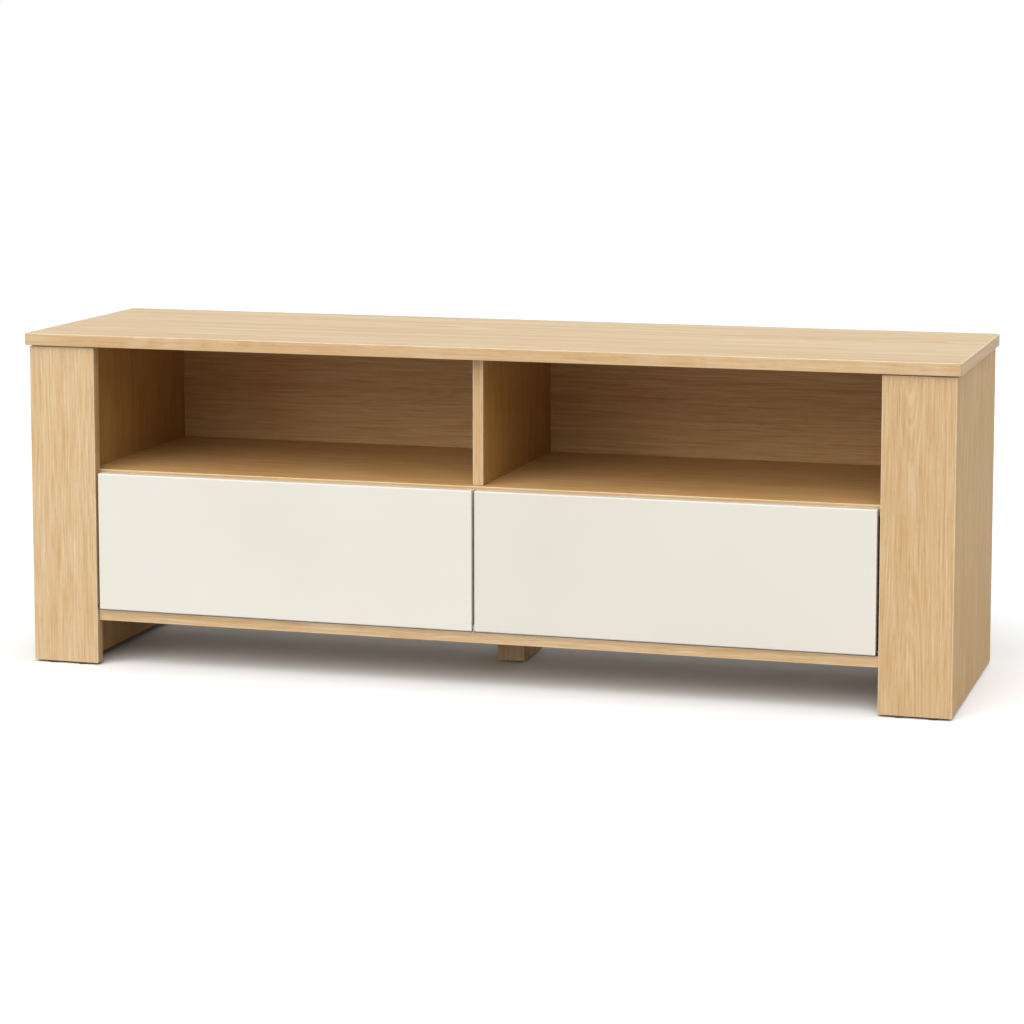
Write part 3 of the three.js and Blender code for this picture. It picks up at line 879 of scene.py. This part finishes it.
def finished_object(name: str, mesh: BMesh, finishes: Sequence[Finish]) -> bpy.types.Object:
    """Turns a mesh into an object with clean shading and its materials.

    Args:
        name: the object's name.
        mesh: its mesh, which is used up.
        finishes: its finishes, by material index.

    Returns:
        The object, at the origin.
    """
    data = bpy.data.meshes.new(name)
    mesh.to_mesh(data)
    mesh.free()
    for finish in finishes:
        data.materials.append(finish.material())
    data.shade_smooth()
    data.set_sharp_from_angle(angle=SHARP_FROM)
    made = linked(name, data)
    weighted = made.modifiers.new("even_flats", "WEIGHTED_NORMAL")
    weighted.keep_sharp = True
    settle(made)
    return made


def settle(made: bpy.types.Object) -> None:
    """Makes what the object's modifiers give its plain mesh, and removes them.

    Args:
        made: the object.
    """
    shown = made.evaluated_get(bpy.context.evaluated_depsgraph_get())
    data = bpy.data.meshes.new_from_object(shown)
    data.name = made.name
    made.modifiers.clear()
    made.data = data


def hand_over(made: bpy.types.Object, body: str, nodes: Iterable[str] = ()) -> bpy.types.Object:
    """Gives a finished piece to the body that it moves with.

    Args:
        made: the piece.
        body: the body's name.
        nodes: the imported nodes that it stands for.

    Returns:
        The piece.
    """
    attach(made, body)
    if nodes:
        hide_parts(*nodes)
    log.info("%s rides on %s, %d faces", made.name, body, len(made.data.polygons))
    return made


# ---------------------------------------------------------------- boards
@dataclass
class Board:
    """One foiled board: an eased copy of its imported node, with the grain turned on its ends."""

    node: str
    foil: OakFoil
    easing: Easing = field(default_factory=Easing)
    # painted shade of the edge bands
    edge_shade: Tone = Tone.DEEP

    def shape(self) -> BMesh:
        """Returns the board's eased mesh."""
        mesh = merged_copy(self.node)
        self.easing.apply(mesh)
        return mesh

    def band_foil(self, facing: int) -> OakFoil:
        """Cuts the foil of an edge band from the same oak, with its own painted shade.

        Args:
            facing: the axis that the edge looks along.

        Returns:
            The band's foil.
        """
        return replace(
            self.foil,
            name=f"{self.foil.name}_band_{'xyz'[facing]}",
            grain=self.foil.grain.band(facing),
            seed=self.foil.seed + BAND_SEED_STEP * (facing + 1),
            # Edge bands take painted shade: bands that face up or down take the darker inside share.
            tone=Tone.INSIDE if facing == UP else self.edge_shade,
            rings=self.foil.rings * BAND_RING_SHARE,
            bands=min(self.foil.bands, OakFoil.bands),
        )

    def build(self) -> bpy.types.Object:
        """Makes the board, bands its edges and hands it over.

        Returns:
            The finished board.
        """
        mesh = self.shape()
        mesh.normal_update()
        thickness = self.foil.grain.thickness()
        edges = [axis for axis in range(3) if axis != thickness]
        for face in mesh.faces:
            facing = max(range(3), key=lambda axis: abs(face.normal[axis]))
            face.material_index = 0 if facing == thickness else 1 + edges.index(facing)
        made = finished_object(f"{self.node}_board", mesh, (self.foil, *map(self.band_foil, edges)))
        return hand_over(made, bpy.data.objects[self.node]["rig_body"], [self.node])


@dataclass
class TopBoard(Board):
    """The top, whose four upright corners are rounded more than its other edges."""

    corner_radius: float = 5.0 * MM
    corner_segments: int = 6
    upright: float = 0.9  # an edge whose direction's Z is more than this is upright

    def shape(self) -> BMesh:
        """Returns the top's mesh: upright corners first, then the rims.

        Returns:
            The mesh.
        """
        mesh = merged_copy(self.node)
        corners = Easing(radius=self.corner_radius, segments=self.corner_segments)
        corners.apply(
            mesh, lambda edge: abs((edge.verts[0].co - edge.verts[1].co).normalized().z) > self.upright
        )
        for face in mesh.faces:
            face[mesh.faces.layers.float[ARRIS]] = 0.0
        rims = Easing(radius=self.easing.radius, segments=self.easing.segments, shortest=0.0, clamp=False)
        rims.apply(mesh)
        return mesh


@dataclass
class MitredBoard(Board):
    """A leg board that meets its neighbour in a mitre along the leg's outer front corner."""

    reveal_height: float = 1.9 * MM  # of the small step under the top
    reveal_depth: float = 3.0 * MM
    corner: Vector = field(default_factory=Vector)  # a point on the leg's outer front corner
    waste: Vector = field(default_factory=Vector)  # points across the mitre, at the neighbour
    bush: str = ""  # the node of a bush let into its edge

    def shape(self) -> BMesh:
        """Returns the mesh of a square board with eased edges, cut along the mitre.

        Returns:
            The mesh.
        """
        low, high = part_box(self.node)
        mesh = box_mesh(low, high - Vector((0.0, 0.0, self.reveal_height)))
        self.easing.apply(mesh)
        self.step_up(mesh)
        cut_mitre(mesh, self.corner, self.waste)
        if self.bush:
            bush_low, bush_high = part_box(self.bush)
            length, radius = bush_high.x - bush_low.x, (bush_high.z - bush_low.z) / 2
            along = Vector((math.copysign(length, middle_of(self.node).x), 0.0, 0.0))
            mesh = bored(mesh, middle_of(self.bush) - along / 2, along, radius)
        return mesh

    def step_up(self, mesh: BMesh) -> None:
        """Raises the middle of the board's upper end, which leaves a dark reveal under the top.

        Args:
            mesh: the board's mesh, still square.
        """
        mesh.normal_update()
        end = max(mesh.faces, key=lambda face: face.normal.z * face.calc_area())
        bmesh.ops.inset_individual(mesh, faces=[end], thickness=self.reveal_depth)
        raised = bmesh.ops.extrude_face_region(mesh, geom=[end])
        corners = [item for item in raised["geom"] if isinstance(item, bmesh.types.BMVert)]
        bmesh.ops.translate(mesh, verts=corners, vec=(0.0, 0.0, self.reveal_height))
        if end.is_valid:
            bmesh.ops.delete(mesh, geom=[end], context="FACES_ONLY")
        bmesh.ops.recalc_face_normals(mesh, faces=mesh.faces)


@dataclass
class Carcass:
    """Top, shelf, bottom panel, dividers, back panels and the small centre leg."""

    heart_right: float = 0.1  # of the top's middle, in metres
    heart_back: float = 0.3  # of half the top's depth

    def build(self) -> None:
        """Makes every fixed board between and above the legs."""
        flat, upright, sideways = Grain.FLAT_LENGTHWISE, Grain.FRONTAL_LENGTHWISE, Grain.SIDEWAYS_UPRIGHT
        _, top_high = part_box("top_panel")
        # The top's foil is darkened and greyed with painted shade, against the extra light and sheen it
        # takes.
        top_foil = OakFoil(
            "oak_top", grain=flat, seed=1.0,
            centre=(self.heart_right, self.heart_back * top_high.y, top_high.z),
            heart_depth=0.045, arch_rise=0.02, arch_length=1.6, tone=Tone.TOP, gloss=0.5, rings=0.80,
            bands=1.7, fibres=1.7,
        )
        TopBoard("top_panel", top_foil).build()
        # The bottom panel takes light painted shade; the shelf and back panels the inside shade; the dividers
        # the darker shade of the bay walls.
        self.board("bottom_panel", flat, seed=2.0, tone=Tone.DEEP, edge_shade=Tone.FRONT)
        self.board("shelf", flat, seed=3.0)
        self.board("upper_divider", sideways, seed=4.0, tone=Tone.WALL)
        self.board("lower_divider", sideways, seed=5.0, tone=Tone.WALL)
        thin = Easing(radius=0.4 * MM)
        self.board("upper_back_panel", upright, seed=6.0, easing=thin)
        self.board("lower_back_panel", upright, seed=7.0, easing=thin)
        self.board("centre_leg", Grain.FRONTAL_UPRIGHT, seed=8.0, tone=Tone.FRONT)

    def board(
        self, node: str, grain: Grain, seed: float, tone: Tone = Tone.INSIDE, easing: Easing = Easing(),
        edge_shade: Tone = Tone.DEEP,
    ) -> None:
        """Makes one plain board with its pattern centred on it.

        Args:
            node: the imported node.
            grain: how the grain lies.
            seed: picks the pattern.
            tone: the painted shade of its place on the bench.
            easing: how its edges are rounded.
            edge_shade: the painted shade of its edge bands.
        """
        foil = OakFoil(f"oak_{node}", grain=grain, seed=seed, centre=tuple(middle_of(node)), tone=tone)
        Board(node, foil, easing=easing, edge_shade=edge_shade).build()


@dataclass
class BoxLeg:
    """One wide hollow leg: front post, outer and inner panels, rear post and four glides."""

    side: str
    sign: int
    seed: float
    # painted shade of the front post's place
    tone: Tone
    heart_depth: float
    arch_rise: float
    rings: float
    heart_share: float = 0.40  # of the post's width, from its inner edge
    heart_height: float = 0.29
    arch_length: float = 0.70
    side_gloss: float = 0.12  # of the panels that face outwards

    def build(self) -> None:
        """Makes the leg's boards and glides."""
        post_low, post_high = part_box(f"{self.side}_front_post")
        outer = post_high.x if self.sign > 0 else post_low.x
        inner = post_low.x if self.sign > 0 else post_high.x
        corner = Vector((outer, post_low.y, post_low.z))
        heart_x = inner + (outer - inner) * self.heart_share
        post_foil = OakFoil(
            f"oak_{self.side}_front_post", grain=Grain.FRONTAL_UPRIGHT, seed=self.seed,
            centre=(heart_x, post_low.y, self.heart_height),
            heart_depth=self.heart_depth, arch_rise=self.arch_rise, arch_length=self.arch_length,
            tone=self.tone, rings=self.rings,
        )
        across = Vector((self.sign, 1.0, 0.0)).normalized()
        bush = f"{self.side}_post_bush"
        MitredBoard(f"{self.side}_front_post", post_foil, corner=corner, waste=across, bush=bush).build()
        # The outer panel and rear post take the painted shade of the sides; the inner panel that of a bay
        # wall.
        self.panel("outer_panel", step=1.0, tone=Tone.SIDE, corner=corner, waste=-across)
        self.panel("inner_panel", step=2.0, tone=Tone.WALL)
        self.panel("rear_post", step=3.0, tone=Tone.SIDE, grain=Grain.FRONTAL_UPRIGHT)
        for end in ("front_inner", "front_outer", "rear_inner", "rear_outer"):
            Fitting(f"{self.side}_{end}_glide", BLACK_NYLON).build()

    def panel(
        self, part: str, step: float, tone: Tone, corner: Vector | None = None, waste: Vector | None = None,
        grain: Grain = Grain.SIDEWAYS_UPRIGHT,
    ) -> None:
        """Makes one of the leg's panels.

        Args:
            part: the panel's name without its side.
            step: added to the leg's seed.
            tone: the painted shade of its place on the bench.
            corner: a point on the mitred corner, on a panel that has one.
            waste: points across the mitre, at the neighbour.
            grain: how the grain lies.
        """
        node = f"{self.side}_{part}"
        foil = OakFoil(
            f"oak_{node}", grain=grain, seed=self.seed + step, centre=tuple(middle_of(node)), tone=tone,
            gloss=self.side_gloss if tone is Tone.SIDE else OakFoil.gloss,
        )
        if corner is None:
            Board(node, foil).build()
        else:
            MitredBoard(node, foil, corner=corner, waste=waste).build()


# ---------------------------------------------------------------- fittings
@dataclass
class Fitting:
    """A small metal or plastic part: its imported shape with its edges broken."""

    node: str
    finish: Finish
    easing: Easing = field(default_factory=lambda: Easing(radius=0.25 * MM, segments=2, shortest=0.0))

    def build(self) -> bpy.types.Object:
        """Makes the fitting and hands it over.

        Returns:
            The finished fitting.
        """
        mesh = merged_copy(self.node)
        self.easing.apply(mesh)
        made = finished_object(f"{self.node}_part", mesh, (self.finish,))
        return hand_over(made, bpy.data.objects[self.node]["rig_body"], [self.node])


@dataclass
class Flap:
    """One drop-down flap with its pins, bushes, stays, latch and bumpers."""

    side: str
    lacquer: Lacquer = LACQUER
    pin_clear: float = 4.4 * MM  # edges nearer than this to the pivot line are the drilled holes' rims
    flat_within: float = math.radians(5.0)  # faces that turn less than this from an axis are flats
    end_easing: Easing = field(
        default_factory=lambda: Easing(radius=1.1 * MM, segments=3, shortest=0.0, clamp=False)
    )

    def build(self) -> None:
        """Makes the leaf and dresses all of its fittings."""
        self.leaf()
        stays = [f"{end}_stay_{part}" for part in ("bracket", "arm", "stud") for end in ("outer", "inner")]
        for finish, parts in (
            (PIN_STEEL, ("pivot_pin",)),
            (BUSH_NYLON, ("post_bush", "flap_bush")),
            (STEEL, ("strike_plate", *stays)),
            (PALE_NYLON, ("latch_housing",)),
            (BLACK_NYLON, ("latch_plunger",)),
            (BUMPER_RUBBER, ("outer_bumper", "inner_bumper")),
        ):
            for part in parts:
                Fitting(f"{self.side}_{part}", finish).build()

    def leaf(self) -> bpy.types.Object:
        """Makes the lacquered leaf, with its ends eased round the drilled holes.

        Returns:
            The finished leaf.
        """
        node = f"{self.side}_flap"
        pivot = middle_of(f"{self.side}_pivot_pin")

        def on_the_outline(edge: bmesh.types.BMEdge) -> bool:
            """Tells an end's outline from the rim of a hole."""
            reach = [math.hypot(v.co.y - pivot.y, v.co.z - pivot.z) for v in edge.verts]
            return max(reach) > self.pin_clear

        mesh = merged_copy(node)
        self.end_easing.apply(mesh, on_the_outline)
        self.mark_round_edges(mesh)
        made = finished_object(f"{node}_leaf", mesh, (self.lacquer,))
        return hand_over(made, f"{self.side}_flap", [node])

    def mark_round_edges(self, mesh: BMesh) -> None:
        """Marks the leaf's long rounded edges as arris too.

        Args:
            mesh: the leaf's mesh.
        """
        layer = mesh.faces.layers.float[ARRIS]
        mesh.normal_update()
        for face in mesh.faces:
            if max(abs(part) for part in face.normal) < math.cos(self.flat_within):
                face[layer] = 1.0


# ---------------------------------------------------------------- screws and nails
@dataclass(frozen=True)
class HeadRecipe:
    """Sizes of a repeated fixing's head."""

    name: str
    radius: float
    crown: float
    height: float
    recess_length: float
    recess_width: float
    sides: int = 20


SCREW = HeadRecipe("screw_heads", 3.2 * MM, 2.2 * MM, 1.3 * MM, 3.4 * MM, 0.8 * MM)
SMALL_SCREW = HeadRecipe("small_screw_heads", 2.4 * MM, 1.7 * MM, 0.8 * MM, 2.6 * MM, 0.6 * MM)
NAIL = HeadRecipe("nail_heads", 2.4 * MM, 2.1 * MM, 0.5 * MM, 0.9 * MM, 0.9 * MM, 16)


class HeadTree:
    """The Geometry Nodes tree that sets a head on each point of a row and turns it the way it faces."""

    SIZES = ("Head Radius", "Crown Radius", "Head Height", "Recess Length", "Recess Width")
    INPUTS = {
        "Geometry": "Geometry", **{size: "Float" for size in SIZES},
        "Sides": "Int", "Seed": "Int", "Finish": "Material",
    }

    def __init__(self) -> None:
        """Builds the tree once."""
        self.tree = bpy.data.node_groups.new("fixing_heads", "GeometryNodeTree")
        for label, kind in self.INPUTS.items():
            self.tree.interface.new_socket(label, in_out="INPUT", socket_type=f"NodeSocket{kind}")
        self.tree.interface.new_socket("Geometry", in_out="OUTPUT", socket_type="NodeSocketGeometry")
        self.sketch = NodeSketch(self.tree)
        self.source = self.sketch.node("NodeGroupInput").outputs
        self.fill()

    def head(self) -> bpy.types.NodeSocket:
        """Makes one head: a low cone with a cross cut into its crown.

        Returns:
            The head's geometry.
        """
        sketch, source = self.sketch, self.source
        height, length, width = (source[label] for label in ("Head Height", "Recess Length", "Recess Width"))
        cone = sketch.node("GeometryNodeMeshCone")
        sketch.feed_all(cone, {
            "Vertices": source["Sides"], "Radius Top": source["Crown Radius"],
            "Radius Bottom": source["Head Radius"], "Depth": height,
        })
        cut = sketch.node("GeometryNodeMeshBoolean", operation="DIFFERENCE", solver="EXACT")
        sketch.feed(cut.inputs["Mesh 1"], cone.outputs["Mesh"])
        for across in ((length, width), (width, length)):
            bar = sketch.node("GeometryNodeMeshCube")
            sketch.feed(bar.inputs["Size"], sketch.vector(*across, height))
            moved = sketch.node("GeometryNodeTransform")
            lift = sketch.vector(0.0, 0.0, height)
            sketch.feed_all(moved, {"Geometry": bar.outputs["Mesh"], "Translation": lift})
            sketch.feed(cut.inputs["Mesh 2"], moved.outputs["Geometry"])
        return cut.outputs["Mesh"]

    def fill(self) -> None:
        """Sets the heads on the points, each with its own turn, and gives them their finish."""
        sketch, source = self.sketch, self.source
        facing = sketch.node("GeometryNodeInputNamedAttribute", data_type="FLOAT_VECTOR")
        facing.inputs["Name"].default_value = FACING
        aligned = sketch.node("FunctionNodeAlignRotationToVector", axis="Z")
        sketch.feed(aligned.inputs["Vector"], facing.outputs["Attribute"])
        spin = sketch.node("FunctionNodeRandomValue", data_type="FLOAT")
        sketch.feed(next(s for s in spin.inputs if s.identifier == "Max_001"), math.pi / 2)
        sketch.feed(spin.inputs["Seed"], source["Seed"])
        spun = next(s for s in spin.outputs if s.identifier == "Value_001")
        own_turn = sketch.node("FunctionNodeEulerToRotation")
        sketch.feed(own_turn.inputs[0], sketch.vector(0.0, 0.0, spun))
        both = sketch.node("FunctionNodeRotateRotation", rotation_space="LOCAL")
        turns = {"Rotation": aligned.outputs["Rotation"], "Rotate By": own_turn.outputs["Rotation"]}
        sketch.feed_all(both, turns)
        placed = sketch.node("GeometryNodeInstanceOnPoints")
        sketch.feed_all(placed, {
            "Points": source["Geometry"], "Instance": self.head(), "Rotation": both.outputs["Rotation"],
        })
        real = sketch.node("GeometryNodeRealizeInstances")
        sketch.feed(real.inputs["Geometry"], placed.outputs["Instances"])
        dressed = sketch.node("GeometryNodeSetMaterial")
        sketch.feed_all(dressed, {"Geometry": real.outputs["Geometry"], "Material": source["Finish"]})
        drain = sketch.node("NodeGroupOutput")
        sketch.feed(drain.inputs[0], dressed.outputs["Geometry"])

    def identifier(self, label: str) -> str:
        """Returns the identifier of the input with this label."""
        items = self.tree.interface.items_tree
        return next(i.identifier for i in items if i.name == label and i.in_out == "INPUT")


@dataclass
class FixingRow:
    """The like fixings of one body: where each head sits and which way it looks."""

    name: str
    body: str
    recipe: HeadRecipe
    seed: int
    seats: list[tuple[Vector, Vector]] = field(default_factory=list)

    def add(self, place: Vector, facing: Vector) -> None:
        """Adds one head.

        Args:
            place: the middle of its underside.
            facing: the way that it looks.
        """
        self.seats.append((place, facing))

    def build(self, tree: HeadTree) -> bpy.types.Object:
        """Makes the row's heads as one plain mesh.

        Args:
            tree: the shared tree.

        Returns:
            The finished piece.
        """
        data = bpy.data.meshes.new(self.name)
        data.from_pydata([tuple(place) for place, _ in self.seats], [], [])
        attribute = data.attributes.new(FACING, "FLOAT_VECTOR", "POINT")
        attribute.data.foreach_set("vector", [part for _, facing in self.seats for part in facing])
        made = linked(self.name, data)
        modifier = made.modifiers.new("heads", "NODES")
        modifier.node_group = tree.tree
        recipe = self.recipe
        sizes = (recipe.radius, recipe.crown, recipe.height, recipe.recess_length, recipe.recess_width)
        settings = dict(zip(tree.SIZES, sizes))
        settings |= {"Sides": recipe.sides, "Seed": self.seed, "Finish": STEEL.material()}
        for label, value in settings.items():
            modifier[tree.identifier(label)] = value
        settle(made)
        return hand_over(made, self.body)


@dataclass
class Fixings:
    """Every visible screw and nail, one mesh for each body and kind."""

    plate: float = 2.0 * MM
    screw_from_plate_end: float = 5.0 * MM
    bracket_screw_spread: float = 11.0 * MM
    centre_screw_spread: float = 13.0 * MM
    centre_foot_depth: float = 21.0 * MM
    nail_spacing: float = 92.0 * MM
    nail_from_seam: float = 4.0 * MM
    nail_from_end: float = 22.0 * MM
    latch_screws: tuple[float, float] = (0.55, 0.88)  # shares of the housing's depth

    def build(self) -> None:
        """Makes all rows."""
        tree = HeadTree()
        carcass = FixingRow("carcass_screws", "carcass", SCREW, seed=11)
        self.centre_bracket(carcass)
        carcass.build(tree)
        studs = FixingRow("stud_screws", "carcass", SMALL_SCREW, seed=12)
        for side, sign in (("left", -1), ("right", 1)):
            row = FixingRow(f"{side}_flap_screws", f"{side}_flap", SCREW, seed=13 + sign)
            for end, toward_wall in (("outer", sign), ("inner", -sign)):
                self.stay(row, studs, f"{side}_{end}", toward_wall)
            row.build(tree)
            self.latch(studs, side)
        studs.build(tree)
        nails = FixingRow("back_panel_nails", "carcass", NAIL, seed=15)
        self.nails(nails)
        nails.build(tree)

    def centre_bracket(self, row: FixingRow) -> None:
        """Seats the two screws of the bracket between the flaps.

        Args:
            row: the carcass's screws.
        """
        low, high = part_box("centre_pivot_bracket")
        for end in (-1, 1):
            middle = high.y - self.centre_foot_depth / 2
            row.add(Vector((end * self.centre_screw_spread, middle, low.z + self.plate)), Vector((0, 0, 1)))

    def stay(self, row: FixingRow, studs: FixingRow, name: str, toward_wall: int) -> None:
        """Seats the bracket's screws on the flap, and the screw through the stud on the wall.

        Args:
            row: the flap's screws.
            studs: the carcass's small screws.
            name: the stay's name.
            toward_wall: 1 if its wall is on the right of it, -1 if it is on the left.
        """
        low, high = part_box(f"{name}_stay_bracket")
        far = low.x if toward_wall > 0 else high.x
        x = far + toward_wall * self.screw_from_plate_end
        for end in (-1, 1):
            z = (low.z + high.z) / 2 + end * self.bracket_screw_spread
            row.add(Vector((x, low.y + self.plate, z)), Vector((0, 1, 0)))
        low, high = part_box(f"{name}_stay_stud")
        tip = low.x if toward_wall > 0 else high.x
        studs.add(Vector((tip, (low.y + high.y) / 2, (low.z + high.z) / 2)), Vector((-toward_wall, 0, 0)))

    def latch(self, studs: FixingRow, side: str) -> None:
        """Seats the two screws that hold a latch housing up against the shelf.

        Args:
            studs: the carcass's small screws.
            side: the housing's side.
        """
        low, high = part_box(f"{side}_latch_housing")
        for share in self.latch_screws:
            y = low.y + (high.y - low.y) * share
            studs.add(Vector(((low.x + high.x) / 2, y, low.z)), Vector((0, 0, -1)))

    def nails(self, row: FixingRow) -> None:
        """Seats the nails along the shelf, the bottom panel and the dividers.

        Args:
            row: the back panels' nails.
        """
        low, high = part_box("upper_back_panel")
        bottom_low, bottom_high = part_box("bottom_panel")
        rear = Vector((0, high.y, 0))
        across = (low.x + self.nail_from_end, high.x - self.nail_from_end)
        bottom = (bottom_low.z + bottom_high.z) / 2
        for z in (low.z - self.nail_from_seam, low.z + self.nail_from_seam, bottom):
            for x in self.spaced(*across):
                row.add(rear + Vector((x, 0, z)), Vector((0, 1, 0)))
        for z in (*self.spaced(bottom_high.z + self.nail_from_end, low.z - self.nail_from_end),
                  *self.spaced(low.z + self.nail_from_end, high.z - self.nail_from_end)):
            row.add(rear + Vector((0, 0, z)), Vector((0, 1, 0)))

    def spaced(self, start: float, end: float) -> list[float]:
        """Returns evenly spaced places from start to end, about the nail spacing apart."""
        count = max(1, round((end - start) / self.nail_spacing))
        return [start + (end - start) * step / count for step in range(count + 1)]


# ---------------------------------------------------------------- studio
@dataclass(frozen=True)
class SoftSun:
    """A very large, far softbox."""

    name: str
    azimuth: float  # degrees round from the front, to the right
    elevation: float
    strength: float
    spread: float
    colour: tuple[float, float, float] = (1.0, 1.0, 1.0)
    mirrored: bool = True  # whether it shows in reflections

    def build(self) -> None:
        """Hangs the light."""
        data = bpy.data.lights.new(self.name, "SUN")
        data.energy = self.strength
        data.angle = math.radians(self.spread)
        data.color = self.colour
        lamp = linked(self.name, data)
        lamp.visible_glossy = self.mirrored
        turn, tilt = math.radians(self.azimuth), math.radians(self.elevation)
        source = Vector((math.sin(turn) * math.cos(tilt), -math.cos(turn) * math.cos(tilt), math.sin(tilt)))
        lamp.rotation_euler = source.to_track_quat("Z", "Y").to_euler()


@dataclass
class Studio:
    """Pale floor, white surround, soft lights and the camera."""

    floor_reach: float = 60.0
    floor_squares: int = 8
    floor_roughness: float = 0.9
    floor_colour: tuple[float, float, float] = (0.90, 0.905, 0.915)
    floor_bounce: float = 0.54  # of the floor's colour, in the light that it throws back
    ambient: float = 0.14
    lights: tuple[SoftSun, ...] = (
        SoftSun("key_softbox", -8.0, 47.0, 3.08, 68.0, (1.0, 1.0, 0.99)),
        SoftSun("low_softbox", -36.0, 11.0, 0.54, 36.0, (1.0, 0.99, 0.97)),
        SoftSun("side_softbox", 96.0, 28.0, 0.88, 60.0, (1.0, 0.99, 0.98)),
        SoftSun("rear_softbox", 168.0, 60.0, 0.85, 70.0, (0.96, 0.98, 1.0), mirrored=False),
        SoftSun("low_rear_softbox", 170.0, 17.0, 1.00, 32.0, (0.96, 0.98, 1.0), mirrored=False),
    )
    camera_place: tuple[float, float, float] = (1.2684, -4.2883, 0.9739)
    camera_turn: float = 16.466  # degrees round to the left
    camera_tilt: float = 6.594  # degrees down
    lens: float = 105.93
    shift_up: float = -0.1465

    def build(self) -> None:
        """Sets up everything round the bench."""
        self.floor()
        self.surround()
        for light in self.lights:
            light.build()
        self.camera()
        bpy.context.scene.view_settings.view_transform = "Standard"

    def floor(self) -> None:
        """Lays the pale floor at height zero."""
        mesh = bmesh.new()
        squares = self.floor_squares
        bmesh.ops.create_grid(mesh, x_segments=squares, y_segments=squares, size=self.floor_reach)
        data = bpy.data.meshes.new("floor")
        mesh.to_mesh(data)
        mesh.free()
        material = bpy.data.materials.new("pale_floor")
        material.use_nodes = True
        sketch = NodeSketch(material.node_tree)
        shader = material.node_tree.nodes["Principled BSDF"]
        seen = sketch.node("ShaderNodeLightPath").outputs["Is Camera Ray"]
        bounced = tuple(part * self.floor_bounce for part in self.floor_colour)
        colour = sketch.mix(seen, solid(bounced), solid(self.floor_colour))
        sketch.feed_all(shader, {
            "Base Color": colour, "Roughness": self.floor_roughness, "Specular IOR Level": 0.0,
        })
        data.materials.append(material)
        made = linked("floor", data)

    def surround(self) -> None:
        """Makes the surround: white to look at, and a dimmer even light on the bench."""
        world = bpy.data.worlds.new("white_surround")
        world.use_nodes = True
        sketch = NodeSketch(world.node_tree)
        background = world.node_tree.nodes["Background"]
        diffuse = sketch.node("ShaderNodeLightPath").outputs["Is Diffuse Ray"]
        strength = sketch.scaled(diffuse, self.ambient - 1.0, 1.0)
        sketch.feed_all(background, {"Strength": strength, "Color": solid((1.0, 1.0, 1.0))})
        bpy.context.scene.world = world

    def camera(self) -> None:
        """Sets the camera a little to the right of the bench and above it."""
        data = bpy.data.cameras.new("camera")
        data.lens = self.lens
        data.shift_y = self.shift_up
        made = linked("camera", data)
        made.location = self.camera_place
        made.rotation_euler = (math.radians(90.0 - self.camera_tilt), 0.0, math.radians(self.camera_turn))
        bpy.context.scene.camera = made


def main() -> None:
    """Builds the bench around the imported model, one sub-assembly after another."""
    logging.basicConfig(level=logging.INFO, format="%(message)s")
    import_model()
    Studio().build()
    Carcass().build()
    # The right leg's front post takes painted shade, as the light falls off from the left.
    BoxLeg("left", -1, seed=20.0, tone=Tone.FRONT, heart_depth=0.040, arch_rise=0.006, rings=0.30).build()
    BoxLeg("right", 1, seed=30.0, tone=Tone.DEEP, heart_depth=0.013, arch_rise=0.011, rings=0.55).build()
    for glide in ("centre_leg_front_glide", "centre_leg_rear_glide"):
        Fitting(glide, BLACK_NYLON).build()
    Fitting("centre_pivot_bracket", STEEL).build()
    Flap("left").build()
    # The right flap gets the darker lacquer: painted shade for the light falling off towards the right.
    Flap("right", SHADED_LACQUER).build()
    Fixings().build()


if __name__ == "__main__":
    main()
